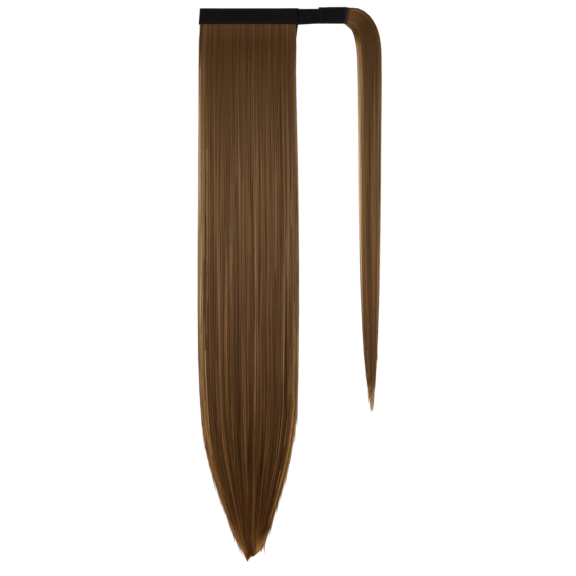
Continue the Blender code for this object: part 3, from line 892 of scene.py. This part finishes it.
def through_rows(rows, count):
    """Smooth rows through a table's rows, evenly spaced along the line, and the line's length."""
    place = np.linspace(0, len(rows) - 1, 2000)
    low = np.minimum(place.astype(int), len(rows) - 2)
    part = (place - low)[:, None]
    gaps = np.diff(rows, axis=0)
    slope = np.concatenate([gaps[:1], (gaps[1:] + gaps[:-1]) / 2, gaps[-1:]])
    reach = np.abs(gaps)
    limit = np.concatenate([reach[:1], np.minimum(reach[1:], reach[:-1]), reach[-1:]]) * 1.5
    slope = np.clip(slope, -limit, limit)
    square, cube = part**2, part**3
    dense = rows[low] * (2 * cube - 3 * square + 1) + slope[low] * (cube - 2 * square + part)
    dense = dense + rows[low + 1] * (3 * square - 2 * cube) + slope[low + 1] * (cube - square)
    steps = np.linalg.norm(np.diff(dense[:, :2], axis=0), axis=1)
    run = np.concatenate([[0.0], np.cumsum(steps)])
    even = np.linspace(0, run[-1], count)
    return np.stack([np.interp(even, run, column) for column in dense.T], 1), run[-1]


wrap_rows, wrap_length = through_rows(WRAP_LINE, 400)
WRAP_DOME = 0.42  # the top's height at both edges, as a share of the thickness
print("wrap strand's middle line in mm:", round(wrap_length))


def wrap_point(across, way):
    """Place, sideways direction, width, thickness and lift, for across -1 to 1 and way 0 to 1."""
    at = way * (len(wrap_rows) - 1)
    x, y, turn, wide, thick, lift = (
        np.interp(at, np.arange(len(wrap_rows)), column) for column in wrap_rows.T
    )
    turned = np.radians(turn)
    side = np.stack([np.sin(turned), np.cos(turned), np.zeros_like(turned)], -1)
    reach = across * wide / 2
    dome = 1 - (1 - WRAP_DOME) * np.abs(across) ** 3
    place = np.stack([x + side[..., 0] * reach, y + side[..., 1] * reach, lift + thick * dome], -1)
    return place * MM, side, wide * MM, thick * MM, lift * MM


# %% [markdown]
# ## Strands of the wrap strand
# The same tree fills this one too. Its guides have most of their points in the bend.


# %% Comb the wrap strand
WRAP_WAY = np.concatenate([np.linspace(0.0, 0.13, 12)[:-1], np.linspace(0.13, 1.0, 15)])
WRAP_ALONG = 0.76  # the strand's tip has the colours that the hair has this far down
WRAP_FULL = 7 * MM


def wrap_light_and_root_sheen(across, way, wide):
    """Light hairs along both sides, a darker streak, a pale tip and a painted highlight at the root."""
    from_left, from_right = (1 + across) * wide / 2, (1 - across) * wide / 2
    reach = np.interp(way, [0.05, 0.30, 0.60, 0.85], mm(9.5, 8.5, 6.0, 2.0))
    left = 0.39 * ramp(reach - from_left, 0, 2.5 * MM)
    left = left + 0.13 * ramp(reach * 0.5 - from_left, 0, 2.5 * MM)
    left = left * np.interp(way, [0.5, 0.7, 0.9], [1.0, 0.7, 0.3])
    right = 0.26 * ramp(4.6 * MM - from_right, 0, 3.0 * MM)
    right = right * np.interp(way, [0.70, 0.90], [1.0, 0.3])
    # The 0.14 near the root is a painted highlight: the sheen where the hair bends over the binding.
    light = (left + right) * ramp(way, 0.045, 0.095) + 0.14 * (1 - ramp(way, 0.03, 0.06))
    light = light - 0.10 * ramp(way, 0.72, 0.84) + 0.50 * ramp(way, 0.93, 0.98)
    streak = np.interp(way, [0.0, 0.16, 0.5, 0.8], [0.35, 0.3, -0.15, 0.1])
    return light - 0.13 * np.exp(-(((across - streak) / 0.22) ** 2))


def comb_wrap(name, seed, locks, sink, tone):
    """Guides for one layer of the wrap strand. sink is how far below its top the layer lies."""
    rng = np.random.default_rng(seed)
    middle, width = lock_places(rng, locks, 0.4)
    ends = 1.0 - np.clip(rng.exponential(0.018, locks), 0, 0.16)
    way = WRAP_WAY * ends[:, None]
    across = (2 * middle - 1)[:, None] + slow_waves(rng, locks, way) * 0.06 * np.clip(way * 3, 0, 1)
    across = np.clip(across, -0.965, 0.965)
    place, side, wide, thick, lift = wrap_point(across, way)
    closed = 0.35 * ramp(way, 0.1, 0.6)
    thin = np.clip(thick / WRAP_FULL, 0.2, 1.0)
    place[..., 2] = np.maximum(place[..., 2] - sink * thin, lift + 0.3 * MM)
    carried = {
        "half": width[:, None] * wide * HALF_LOCK * (1 - closed),
        "deep": (0.3 + 0.5 * closed) * MM * thin,
        "tone": tone + wrap_light_and_root_sheen(across, way, wide) + rng.normal(0.0, 0.08, locks)[:, None],
        # The tip takes the painted sheen from higher up the hair, so it is lighter.
        "along": way * WRAP_ALONG - 0.36 * ramp(way, 0.93, 0.98),
        "side": side,
    }
    return guide_mesh(name, place, carried)


wrap_pieces = []
# The low layer's darker tone is painted shade for hair under the top layer.
for name, seed, locks, count, sink, tone in (
    ("wrap_low_strands", 21, 18, 24, 1.5 * MM, 0.36),
    ("wrap_top_strands", 22, 30, 24, 0.1 * MM, 0.54),
):
    guides = comb_wrap(name + "_guides", seed, locks, sink, tone)
    sizes = {
        "Strands in a lock": count,
        "Radius": 0.26 * MM,
        "Wander": 0.5 * MM,
        "Shortest": 0.965,
        "Seed": SEED + seed,
    }
    wrap_pieces.append(grow(name, guides, strands, sizes))

# %% [markdown]
# ## The wrap strand's tip and packed hair
# A few loose hairs run on past the tip, and a closed mass of packed hair lies below the strands, as
# in the falling hair. Shares of the strand's length say how long the loose hairs are, how much of
# them is free, and where the mass ends.

# %% The wrap strand's tip and body
LOOSE_LENGTH = 0.14
LOOSE_FREE = 0.035
LAST_WAY = 0.985
WRAP_BODY_END = 0.962


def comb_wrap_tips(name, seed, count):
    """A few hairs that run on past the tip and part from it."""
    rng = np.random.default_rng(seed)
    end = 1.0 + rng.uniform(-0.16, 0.012, count)[:, None]
    along = end - LOOSE_LENGTH * (1 - np.linspace(0.0, 1.0, LOOSE_POINTS))
    across = np.broadcast_to(rng.uniform(-0.9, 0.9, count)[:, None], along.shape)
    held = np.minimum(along, end - LOOSE_FREE)
    past = (along - held) / LOOSE_FREE
    held = np.minimum(held, LAST_WAY)
    place, side = wrap_point(across, held)[:2]
    place[..., 1] -= (along - held) * wrap_length * MM
    place = place + side * (across * past * rng.uniform(0.0, 1.6, count)[:, None] * MM)[..., None]
    place[..., 2] = np.maximum(place[..., 2] - 0.6 * MM, 0.5 * MM)
    carried = {
        "half": np.full(along.shape, 0.5 * MM),
        "deep": np.full(along.shape, 0.2 * MM),
        "tone": 0.88 + rng.normal(0, 0.10, count)[:, None] + 0.2 * past,
        # The loose ends take the painted sheen from higher up the hair, so they are lighter.
        "along": np.clip(along * WRAP_ALONG - 0.4 * ramp(along, 0.93, 0.98), 0, 1),
        "side": side,
    }
    return guide_mesh(name, place, carried)


tip_guides = comb_wrap_tips("wrap_tip_guides", 23, 46)
tip_sizes = {**loose_sizes, "Wander": 0.5 * MM}
wrap_pieces.append(grow("wrap_loose_ends", tip_guides, strands, tip_sizes))


def wrap_body():
    way = np.linspace(0.0, WRAP_BODY_END, 150)[:, None]
    narrowed = np.interp(way, [0.0, 0.90, WRAP_BODY_END], [1.0, 0.97, 0.30])

    def row(start, end, count):
        """Places across and ways down, from one side of the strand to the other."""
        return np.broadcast_arrays(np.linspace(start, end, count)[None, :] * narrowed, way)

    across, down = row(-0.985, 0.985, 60)
    place, _, _, thick, lift = wrap_point(across, down)
    sink = (0.7 + 0.9 * np.clip(down * 4, 0, 1) * grooves(across / 2, down, 18, 6)) * MM
    sunk = place[..., 2] - sink * np.clip(thick / WRAP_FULL, 0.2, 1)
    place[..., 2] = np.maximum(sunk, lift + 0.3 * MM)
    low_across, low_down = row(0.97, -0.97, 10)
    low_place, _, _, _, low_lift = wrap_point(low_across, low_down)
    low_place[..., 2] = low_lift + 0.1 * MM
    over = (place, (across + 1) / 2, down * WRAP_ALONG)
    under = (low_place, (low_across + 1) / 2, low_down * WRAP_ALONG)
    return packed_body("wrap_body", over, under, 0.23)


wrap_mass = wrap_body()

# %% [markdown]
# ## Black tape and lining
# The band, the strap and the cuff are brushed loop tape, and the lining is plain cloth. Each is a
# thin sheet that the CAD has already bent over what is below it. So each gets a fine grid inside
# its outline, and rays up and down find the CAD sheet's two faces at every point. The map runs
# along and across the tape, so that weave, pile and selvedge follow the cloth and not the world.


# %% Tape and cloth materials
def tape_material(name, dark, light, rib):
    """Black cloth: fine threads, uneven pile, and a smoother selvedge along both long edges."""
    material, tree = new_material(name)
    place = tree.add("ShaderNodeUVMap", {"uv_map": HAIR_MAP})
    across = tree.add("ShaderNodeSeparateXYZ", None, {0: place}).other("Y")
    spot = tree.add("ShaderNodeTexCoord", None, None).other("Object")
    pile = tree.noise(spot, 900.0, 4.0, 0.7)
    worn = tree.noise(spot, 55.0, 3.0)
    ribs = (across * (rib * 2 * math.pi)).alone("SINE") * 0.5 + 0.5
    from_edge = (across - 0.5).alone("ABSOLUTE") * 2
    selvedge = tree.range(from_edge, 0.80, 0.84) * tree.range(from_edge, 0.99, 0.95)
    fuzz = tree.range(pile * 0.6 + worn * 0.4, 0.35, 0.7)
    level = fuzz * (0.75 - 0.25 * selvedge) + selvedge * (0.25 + 0.2 * ribs)
    colour = tree.mixed(level, (*dark, 1.0), (*light, 1.0))
    height = pile * 0.7 + ribs * selvedge * 0.3
    bump = tree.add("ShaderNodeBump", None, {"Strength": 0.6, "Distance": 0.0004, "Height": height})
    inputs = {
        "Base Color": colour,
        "Roughness": tree.range(worn, 0.3, 0.7, 0.82, 0.98),
        "Specular IOR Level": 0.03,
        "Normal": bump,
    }
    return finish_material(material, tree, inputs)


tape_look = tape_material("black_loop_tape", (0.0026, 0.0022, 0.0026), (0.0074, 0.0064, 0.0076), 60)
cloth_look = tape_material("black_lining", (0.0030, 0.0027, 0.0030), (0.0080, 0.0072, 0.0080), 120)
print("cloth materials:", tape_look.name, cloth_look.name)

# %% [markdown]
# ## From a CAD sheet to a fine one
# `cloth_sheet` walks over a grid of shares along and across the tape. At each place it measures the
# CAD sheet's two faces, lifts the upper one by a faint unevenness, and adds a rim half way between
# them, so the edge of the cloth is rounded.


# %% Sheets from the CAD sheets
# Where to look for a face, in mm from its place.
SEARCH = ((0, 0), (0.3, 0), (-0.3, 0), (0, 0.3), (0, -0.3), (0.6, 0.6), (-0.6, -0.6))


def height_at(rays, x, y, from_above):
    """The height of a CAD face at a place, looked for a little to each side if the ray misses."""
    start, way = (HIGH_ABOVE, -1) if from_above else (-HIGH_ABOVE, 1)
    for dx, dy in SEARCH:
        spot = Vector((x + dx * MM, y + dy * MM, start))
        hit = rays.ray_cast(spot, Vector((0, 0, way)))[0]
        if hit:
            return hit.z
    return None


RIM = 0.3  # the rounded rim sticks out this far past the two faces, in mm
RIM_ON_MAP = 0.004


def rim_side(step, count):
    """-1 at the first row of a sheet, 1 at the last, and 0 between them."""
    return (step == count - 1) - (step == 0)


def sheet_faces(index, columns, rows):
    """The two faces of a sheet, and the strips that join them round its rim."""
    faces = []
    for i in range(columns - 1):
        for j in range(rows - 1):
            ring = [(i, j), (i + 1, j), (i + 1, j + 1), (i, j + 1)]
            faces.append([index[("top", *key)] for key in ring])
            faces.append([index[("low", *key)] for key in reversed(ring)])
    around = [(i, 0) for i in range(columns)] + [(columns - 1, j) for j in range(1, rows)]
    around += [(i, rows - 1) for i in reversed(range(columns - 1))]
    around += [(0, j) for j in reversed(range(rows - 1))]
    for first, second in zip(around, around[1:]):
        for upper, lower in (("top", "rim"), ("rim", "low")):
            keys = ((upper, *first), (lower, *first), (lower, *second), (upper, *second))
            faces.append([index[key] for key in keys])
    return faces


def cloth_sheet(name, node, outline, columns, rows, material, uneven=0.10):
    """A closed sheet over a CAD sheet. outline gives x, y in mm for shares along and across."""
    rays = ray_finder(node)
    phase = np.random.default_rng(len(name)).uniform(0, 6.28, 4)
    middle_x, middle_y = outline(0.5, 0.5)
    points, maps, index = [], [], {}

    def add(key, s, t, x, y, z):
        index[key] = len(points)
        points.append((x * MM, y * MM, z))
        maps.append((0.005 + 0.99 * s, 0.005 + 0.99 * t))

    for i, s in enumerate(np.linspace(0, 1, columns)):
        for j, t in enumerate(np.linspace(0, 1, rows)):
            x, y = outline(s, t)
            end, side = rim_side(i, columns), rim_side(j, rows)
            inner_x = x + math.copysign(RIM, middle_x - x) * abs(end)
            inner_y = y + math.copysign(RIM, middle_y - y) * abs(side)
            top = height_at(rays, inner_x * MM, inner_y * MM, True)
            low = height_at(rays, inner_x * MM, inner_y * MM, False)
            lay = math.sin(x * 0.31 + phase[0]) * math.sin(y * 0.43 + x * 0.07 + phase[1])
            lay += 0.6 * math.sin(x * 0.83 + phase[2]) * math.sin(y * 0.61 + phase[3])
            top += min(uneven * lay * MM * 0.6, 0.1 * MM)
            add(("top", i, j), s, t, inner_x, inner_y, top)
            add(("low", i, j), s, t, inner_x, inner_y, low)
            if end or side:
                middle_height = (top + low) / 2
                add(("rim", i, j), s + RIM_ON_MAP * end, t + RIM_ON_MAP * side, x, y, middle_height)
    return mapped_piece(name, points, sheet_faces(index, columns, rows), maps, material)


# %% [markdown]
# ## The tapes' outlines
# An outline is a function from two shares to x and y in mm. Four corners are enough for the band,
# the cuff and the pad. The lining widens a little on the right, and the strap's lower edge rises
# where it leaves the band.


# %% The tapes
def between(low_left, low_right, top_right, top_left):
    """An outline with four corners."""

    def outline(s, t):
        low = [a + (b - a) * s for a, b in zip(low_left, low_right)]
        top = [a + (b - a) * s for a, b in zip(top_left, top_right)]
        return tuple(a + (b - a) * t for a, b in zip(low, top))

    return outline


def lining_outline(s, t):
    """The lining reaches a little further right above the middle than at its lower edge."""
    left, low_edge, height = -140.6, 375.3, 55.4
    y = low_edge + height * t
    right = 9.0 + 3.9 * min((y - low_edge) / 30.0, 1.0)
    return left + (right - left) * s, y


def smooth_rise(value):
    value = min(max(value, 0.0), 1.0)
    return value * value * (3 - 2 * value)


def strap_outline(s, t):
    """The strap's lower edge rises a little between the band's right end and the cuff."""
    x, y = 8.6 + 75.4 * s, 405.1 + 24.7 * t
    band_end, cuff_start, tape_top = 13.3, 44.6, 430.7
    rise = 1.4 * smooth_rise((x - band_end) / (cuff_start - band_end))
    return x, y + rise * (tape_top - y) / 25.4


band_outline = between((-142.1, 405.3), (13.3, 405.3), (13.3, 430.7), (-140.1, 430.7))
cuff_outline = between((44.6, 406.6), (84.2, 406.6), (88.4, 432.0), (44.6, 432.0))
pad_outline = between((47.0, 408.8), (82.0, 408.8), (82.0, 429.8), (47.0, 429.8))
band_tape = cloth_sheet("band_tape", "band", band_outline, 150, 32, tape_look)
lining_cloth = cloth_sheet("lining_cloth", "lining", lining_outline, 96, 36, cloth_look, 0.04)
strap_tape = cloth_sheet("strap_tape", "strap", strap_outline, 84, 30, tape_look, 0.05)
cuff_tape = cloth_sheet("cuff_tape", "strap_cuff", cuff_outline, 56, 30, tape_look)
pad_tape = cloth_sheet("pad_tape", "hook_pad", pad_outline, 36, 22, cloth_look, 0.02)
HOOK_ROOM = 0.38 * MM  # the pad's underside is lifted to this, so its hooks end above the table
for vertex in pad_tape.data.vertices:
    vertex.co.z = max(vertex.co.z, HOOK_ROOM)

# %% [markdown]
# ## Stitches
# Two rows of black thread hold the band to the lining, and a box of stitches holds the cuff. One
# stitch is a short tapered dash. The tree walks along each seam line, sets a dash at every step,
# and turns it to the seam, so a change of stitch length is one number.

# %% The stitch tree
THREAD = {"Stitch length": 2.5 * MM, "Step": 3.3 * MM, "Thread radius": 0.24 * MM}


def thread_material(name, dark, light):
    material, tree = new_material(name)
    spot = tree.add("ShaderNodeTexCoord", None, None).other("Object")
    twist = tree.noise(spot, 1400.0, 2.0)
    colour = tree.mixed(tree.range(twist, 0.3, 0.7), (*dark, 1.0), (*light, 1.0))
    inputs = {"Base Color": colour, "Roughness": 0.62, "Specular IOR Level": 0.3}
    return finish_material(material, tree, inputs)


thread_look = thread_material("black_thread", (0.0055, 0.005, 0.006), (0.016, 0.0145, 0.0165))


def stitch_tree(material):
    tree, given = geometry_tree("stitches_along_seams", THREAD)
    seams = tree.add("GeometryNodeMeshToCurve", None, {0: given["Geometry"]})
    settings = {"mode": "LENGTH"}
    steps = tree.add("GeometryNodeCurveToPoints", settings, {"Curve": seams, "Length": given["Step"]})
    half = given["Stitch length"] / 2
    line = {"Start": tree.joined(0.0, 0.0, 0 - half), "End": tree.joined(0.0, 0.0, half)}
    core = tree.add("GeometryNodeCurvePrimitiveLine", None, line)
    core = tree.add("GeometryNodeResampleCurve", {"mode": "COUNT"}, {"Curve": core, "Count": 5})
    way = tree.add("GeometryNodeSplineParameter", None, None)
    plump = given["Thread radius"] * (0.3 + 0.7 * (1 - (way * 2 - 1) ** 2))
    ring = {"Resolution": 6, "Radius": 1.0}
    ring = tree.add("GeometryNodeCurvePrimitiveCircle", None, ring)
    swept = {"Curve": core, "Profile Curve": ring, "Scale": plump, "Fill Caps": True}
    dash = tree.add("GeometryNodeCurveToMesh", None, swept)
    placed = {"Points": steps, "Instance": dash, "Rotation": steps.other("Rotation")}
    stitches = tree.add("GeometryNodeInstanceOnPoints", None, placed)
    return end_tree(tree, stitches, material)


SEAM_STEPS = 40  # in each straight run of a seam
SEAM_LIFT = 0.05 * MM  # the thread's middle is this far above the cloth


def seam_mesh(name, seams):
    """seams: for each, its piece's CAD node, its outline, and its corners as shares."""
    points, edges = [], []
    for node, outline, corners in seams:
        rays = ray_finder(node)
        for (s0, t0), (s1, t1) in zip(corners, corners[1:]):
            for step in range(SEAM_STEPS + 1):
                part = step / SEAM_STEPS
                x, y = outline(s0 + (s1 - s0) * part, t0 + (t1 - t0) * part)
                z = height_at(rays, x * MM, y * MM, True) + SEAM_LIFT
                if step:
                    edges.append((len(points) - 1, len(points)))
                points.append((x * MM, y * MM, z))
    mesh = bpy.data.meshes.new(name)
    mesh.from_pydata(points, edges, [])
    return mesh


stitch_group = stitch_tree(thread_look)
CUFF_BOX = ((0.06, 0.10), (0.96, 0.10), (0.95, 0.90), (0.06, 0.90), (0.06, 0.10))
SEAMS = (
    ("band", band_outline, ((0.012, 0.86), (0.985, 0.86))),
    ("band", band_outline, ((0.012, 0.12), (0.985, 0.12))),
    ("strap_cuff", cuff_outline, CUFF_BOX),
)
stitches = grow("stitches", seam_mesh("seams", SEAMS), stitch_group, THREAD)

# %% [markdown]
# ## Loops and hooks
# The tape's face is brushed nylon loops, and the pad's face is small hooks that catch them. Both
# are one short bent thread, scattered over a surface: soft low loops on the tape's upper side, and
# fewer, thicker hooks on the pad's underside.


# %% The pile tree
LOOP_SIZES = {"Density": 4.5e5, "Height": 0.28 * MM, "Spread": 0.4 * MM, "Thread": 0.05 * MM}
HOOK_SIZES = {"Density": 4.0e5, "Height": 0.3 * MM, "Spread": 0.3 * MM, "Thread": 0.08 * MM}


def pile_tree(name, material, up):
    """Short bent threads on the faces that look up, or with up = -1 on those that look down."""
    sizes = {**LOOP_SIZES, "Seed": SEED}
    tree, given = geometry_tree(name, sizes)
    normal = tree.add("GeometryNodeInputNormal", None, None)
    facing = tree.add("ShaderNodeSeparateXYZ", None, {0: normal}).other("Z") * up
    faces = {"data_type": "FLOAT", "operation": "GREATER_THAN"}
    chosen = tree.add("FunctionNodeCompare", faces, {0: facing, 1: 0.85})
    spread = {"Mesh": given["Geometry"], "Selection": chosen, "Density": given["Density"]}
    points = tree.add("GeometryNodeDistributePointsOnFaces", None, {**spread, "Seed": given["Seed"]})
    ring = tree.add("GeometryNodeCurvePrimitiveCircle", None, {"Resolution": 9, "Radius": 1.0})
    opened = tree.add("GeometryNodeTrimCurve", {"mode": "FACTOR"}, {"Curve": ring, 3: 0.66})
    bend = {"Geometry": opened, "Rotation": (math.pi / 2, 0.0, 0.0)}
    upright = tree.add("GeometryNodeTransform", None, bend)
    stretch = tree.joined(given["Spread"], given["Spread"], given["Height"] * up)
    sized = tree.add("GeometryNodeTransform", None, {"Geometry": upright, "Scale": stretch})
    thread = {"Resolution": 3, "Radius": given["Thread"]}
    thread = tree.add("GeometryNodeCurvePrimitiveCircle", None, thread)
    loop = tree.add("GeometryNodeCurveToMesh", None, {"Curve": sized, "Profile Curve": thread})
    turn = {0: (0.0, 0.0, 0.0), 1: (0.5, 0.5, 6.28), "Seed": given["Seed"]}
    turn = tree.add("FunctionNodeRandomValue", {"data_type": "FLOAT_VECTOR"}, turn)
    placed = {"Points": points, "Instance": loop, "Rotation": turn}
    loops = tree.add("GeometryNodeInstanceOnPoints", None, placed)
    return end_tree(tree, loops, material)


loop_group = pile_tree("loop_pile", tape_look, 1)
hook_group = pile_tree("hook_pile", thread_look, -1)
band_pile = grow("band_pile", band_tape.data.copy(), loop_group, LOOP_SIZES)
strap_pile = grow("strap_pile", strap_tape.data.copy(), loop_group, LOOP_SIZES)
cuff_pile = grow("cuff_pile", cuff_tape.data.copy(), loop_group, LOOP_SIZES)
pad_hooks = grow("pad_hooks", pad_tape.data.copy(), hook_group, HOOK_SIZES)

# %% [markdown]
# ## The binding
# Where the strand leaves the strap, a few turns of thread are wound round its root. The turns are
# one rounded loop, set side by side along a short line. The photo shows them as a narrow grey
# stripe, a little askew. The first turns, next to the cuff, are as dark as the cuff is.

# %% Wind the binding
BINDING = {"Turns": 12, "Pitch": 0.44 * MM, "Width": 25.9 * MM, "Height": 4.9 * MM, "Thread": 0.27 * MM}
BINDING_MIDDLE = Vector((88.85, 418.6, 4.25)) * MM
BINDING_TURN = math.radians(9.7)
BINDING_COLOURS = (
    (0.0, (0.003, 0.0026, 0.003)),
    (0.38, (0.004, 0.0035, 0.0035)),
    (0.48, (0.018, 0.016, 0.015)),
    (0.75, (0.013, 0.011, 0.010)),
    (1.0, (0.022, 0.016, 0.012)),
)


def binding_material():
    """Dark first turns, then grey-beige ones. The turn's number comes along as an attribute."""
    material, tree = new_material("binding_thread")
    turn = tree.add("ShaderNodeAttribute", {"attribute_name": "turn_share"}).other("Fac")
    spot = tree.add("ShaderNodeTexCoord", None, None).other("Object")
    twist = tree.noise(spot, 1200.0, 2.0)
    colour = tree.add("ShaderNodeValToRGB", {"stops": BINDING_COLOURS}, {0: turn})
    shaded = tree.mixed(tree.range(twist, 0.3, 0.7), (0.6, 0.6, 0.6, 1.0), (1.0, 1.0, 1.0, 1.0))
    shaded = tree.mixed(1.0, colour, shaded, "MULTIPLY")
    inputs = {"Base Color": shaded, "Roughness": 0.7, "Specular IOR Level": 0.25}
    return finish_material(material, tree, inputs)


def binding_tree(material):
    tree, given = geometry_tree("binding_turns", BINDING)
    box = {"Width": given["Width"], "Height": given["Height"]}
    box = tree.add("GeometryNodeCurvePrimitiveQuadrilateral", None, box)
    fillet = {"Curve": box, "Radius": 1.6 * MM, "Count": 5}
    rounded = tree.add("GeometryNodeFilletCurve", {"mode": "POLY"}, fillet)
    upright = {"Geometry": rounded, "Rotation": (math.pi / 2, 0.0, math.pi / 2)}
    upright = tree.add("GeometryNodeTransform", None, upright)
    ring = {"Resolution": 6, "Radius": given["Thread"]}
    ring = tree.add("GeometryNodeCurvePrimitiveCircle", None, ring)
    turn = tree.add("GeometryNodeCurveToMesh", None, {"Curve": upright, "Profile Curve": ring})
    start = tree.joined(given["Pitch"] * (given["Turns"] - 1) * -0.5)
    line = {"Count": given["Turns"], "Start Location": start, "Offset": tree.joined(given["Pitch"])}
    line = tree.add("GeometryNodeMeshLine", None, line)
    number = tree.add("GeometryNodeInputIndex", None, None) / (given["Turns"] - 1)
    placed = tree.add("GeometryNodeInstanceOnPoints", None, {"Points": line, "Instance": turn})
    named = {"Geometry": placed, "Name": "turn_share", "Value": number}
    named = tree.add("GeometryNodeStoreNamedAttribute", {"domain": "INSTANCE"}, named)
    at = {"Geometry": named, "Translation": BINDING_MIDDLE, "Rotation": (0.0, 0.0, -BINDING_TURN)}
    return end_tree(tree, tree.add("GeometryNodeTransform", None, at), material)


empty = bpy.data.meshes.new("binding_start")
binding_group = binding_tree(binding_material())
binding = grow("binding_thread", empty, binding_group, BINDING)

# %% [markdown]
# ## Studio
# The photo is taken straight down on a white surface, with no cast shadow to speak of. So the floor
# is pale and brightly lit, one wide lamp hangs over the hair, and the camera looks straight down.

# %% Floor, lamps and camera
PIXEL = 1.5575 * MM  # the width of one of the photo's pixels on the table
PICTURE = 576  # the photo's width in pixels
LENS = 100.0
FILM = 36.0
look_at = Vector((-2.9, -5.0, 1.5)) * MM
FLOOR_REACH = 3.0
FLOOR_DROP = 0.2 * MM  # a little below the part, so that the two never share a surface
FLOOR_LOOK = {
    "Base Color": (0.80, 0.80, 0.80, 1.0),
    "Roughness": 0.95,
    "Specular IOR Level": 0.1,
    "Emission Color": (1.0, 1.0, 1.0, 1.0),
    "Emission Strength": 0.08,
}
corners = [(x * FLOOR_REACH, y * FLOOR_REACH, 0) for x, y in ((-1, -1), (1, -1), (1, 1), (-1, 1))]
floor_mesh = bpy.data.meshes.new("floor")
floor_mesh.from_pydata(corners, [], [(0, 1, 2, 3)])
floor_mesh.materials.append(finish_material(*new_material("pale_floor"), FLOOR_LOOK))
floor = bpy.data.objects.new("floor", floor_mesh)
floor.location.z = -FLOOR_DROP
bpy.context.scene.collection.objects.link(floor)


def softbox(name, place, aim, size, watts):
    lamp = bpy.data.lights.new(name, "AREA")
    lamp.shape = "RECTANGLE"
    lamp.size, lamp.size_y = size
    lamp.energy = watts
    obj = bpy.data.objects.new(name, lamp)
    obj.location = place
    obj.rotation_euler = (Vector(aim) - Vector(place)).to_track_quat("-Z", "Y").to_euler()
    bpy.context.scene.collection.objects.link(obj)
    return obj


# Each lamp: its place and where it points, in metres, then its size and its power in watts.
LAMPS = {
    "over_hair": ((0.0, 0.22, 3.0), (0.0, 0.15, 0.0), (1.4, 0.5), 62),
    "left_fill": ((-2.2, 0.3, 2.2), (0.0, 0.0, 0.0), (1.6, 1.6), 34),
    "right_fill": ((2.2, 0.1, 2.2), (0.0, 0.0, 0.0), (1.6, 1.6), 28),
}
for name, (place, aim, size, watts) in LAMPS.items():
    softbox(name, place, aim, size, watts)
world = bpy.data.worlds.new("studio")
world.use_nodes = True
sky = world.node_tree.nodes["Background"].inputs
sky["Color"].default_value = (1.0, 1.0, 1.0, 1.0)
sky["Strength"].default_value = 0.40
bpy.context.scene.world = world
bpy.context.scene.view_settings.view_transform = "Standard"

camera_data = bpy.data.cameras.new("camera")
camera_data.lens = LENS
camera_data.sensor_width = FILM
distance = PIXEL * PICTURE * LENS / FILM
camera = bpy.data.objects.new("camera", camera_data)
camera.location = look_at + Vector((0, 0, distance))
bpy.context.scene.collection.objects.link(camera)
bpy.context.scene.camera = camera
print("camera height in mm:", round(camera.location.z / MM))

# %% [markdown]
# ## Each piece rides on the CAD body, and the CAD node that each main piece stands for is hidden.
# Each piece rides on the CAD body and says which CAD node it stands for.

# %% Ride, replace and finish
SLOTS = {
    "brown_hair": (*fall_pieces, fall_mass, *wrap_pieces, wrap_mass),
    "black_tape": (band_tape, strap_tape, cuff_tape, band_pile, strap_pile, cuff_pile, stitches),
    "black_cloth": (lining_cloth, pad_tape, pad_hooks),
    "grey_binding": (binding,),
}
for slot, pieces in SLOTS.items():
    for piece in pieces:
        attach(piece, "root")
STANDS_FOR = {
    "hair_fall": fall_mass,
    "wrap_strand": wrap_mass,
    "band": band_tape,
    "lining": lining_cloth,
    "strap": strap_tape,
    "strap_cuff": cuff_tape,
    "hook_pad": pad_tape,
    "strand_binding": binding,
}
for node, piece in STANDS_FOR.items():
    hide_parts(node)
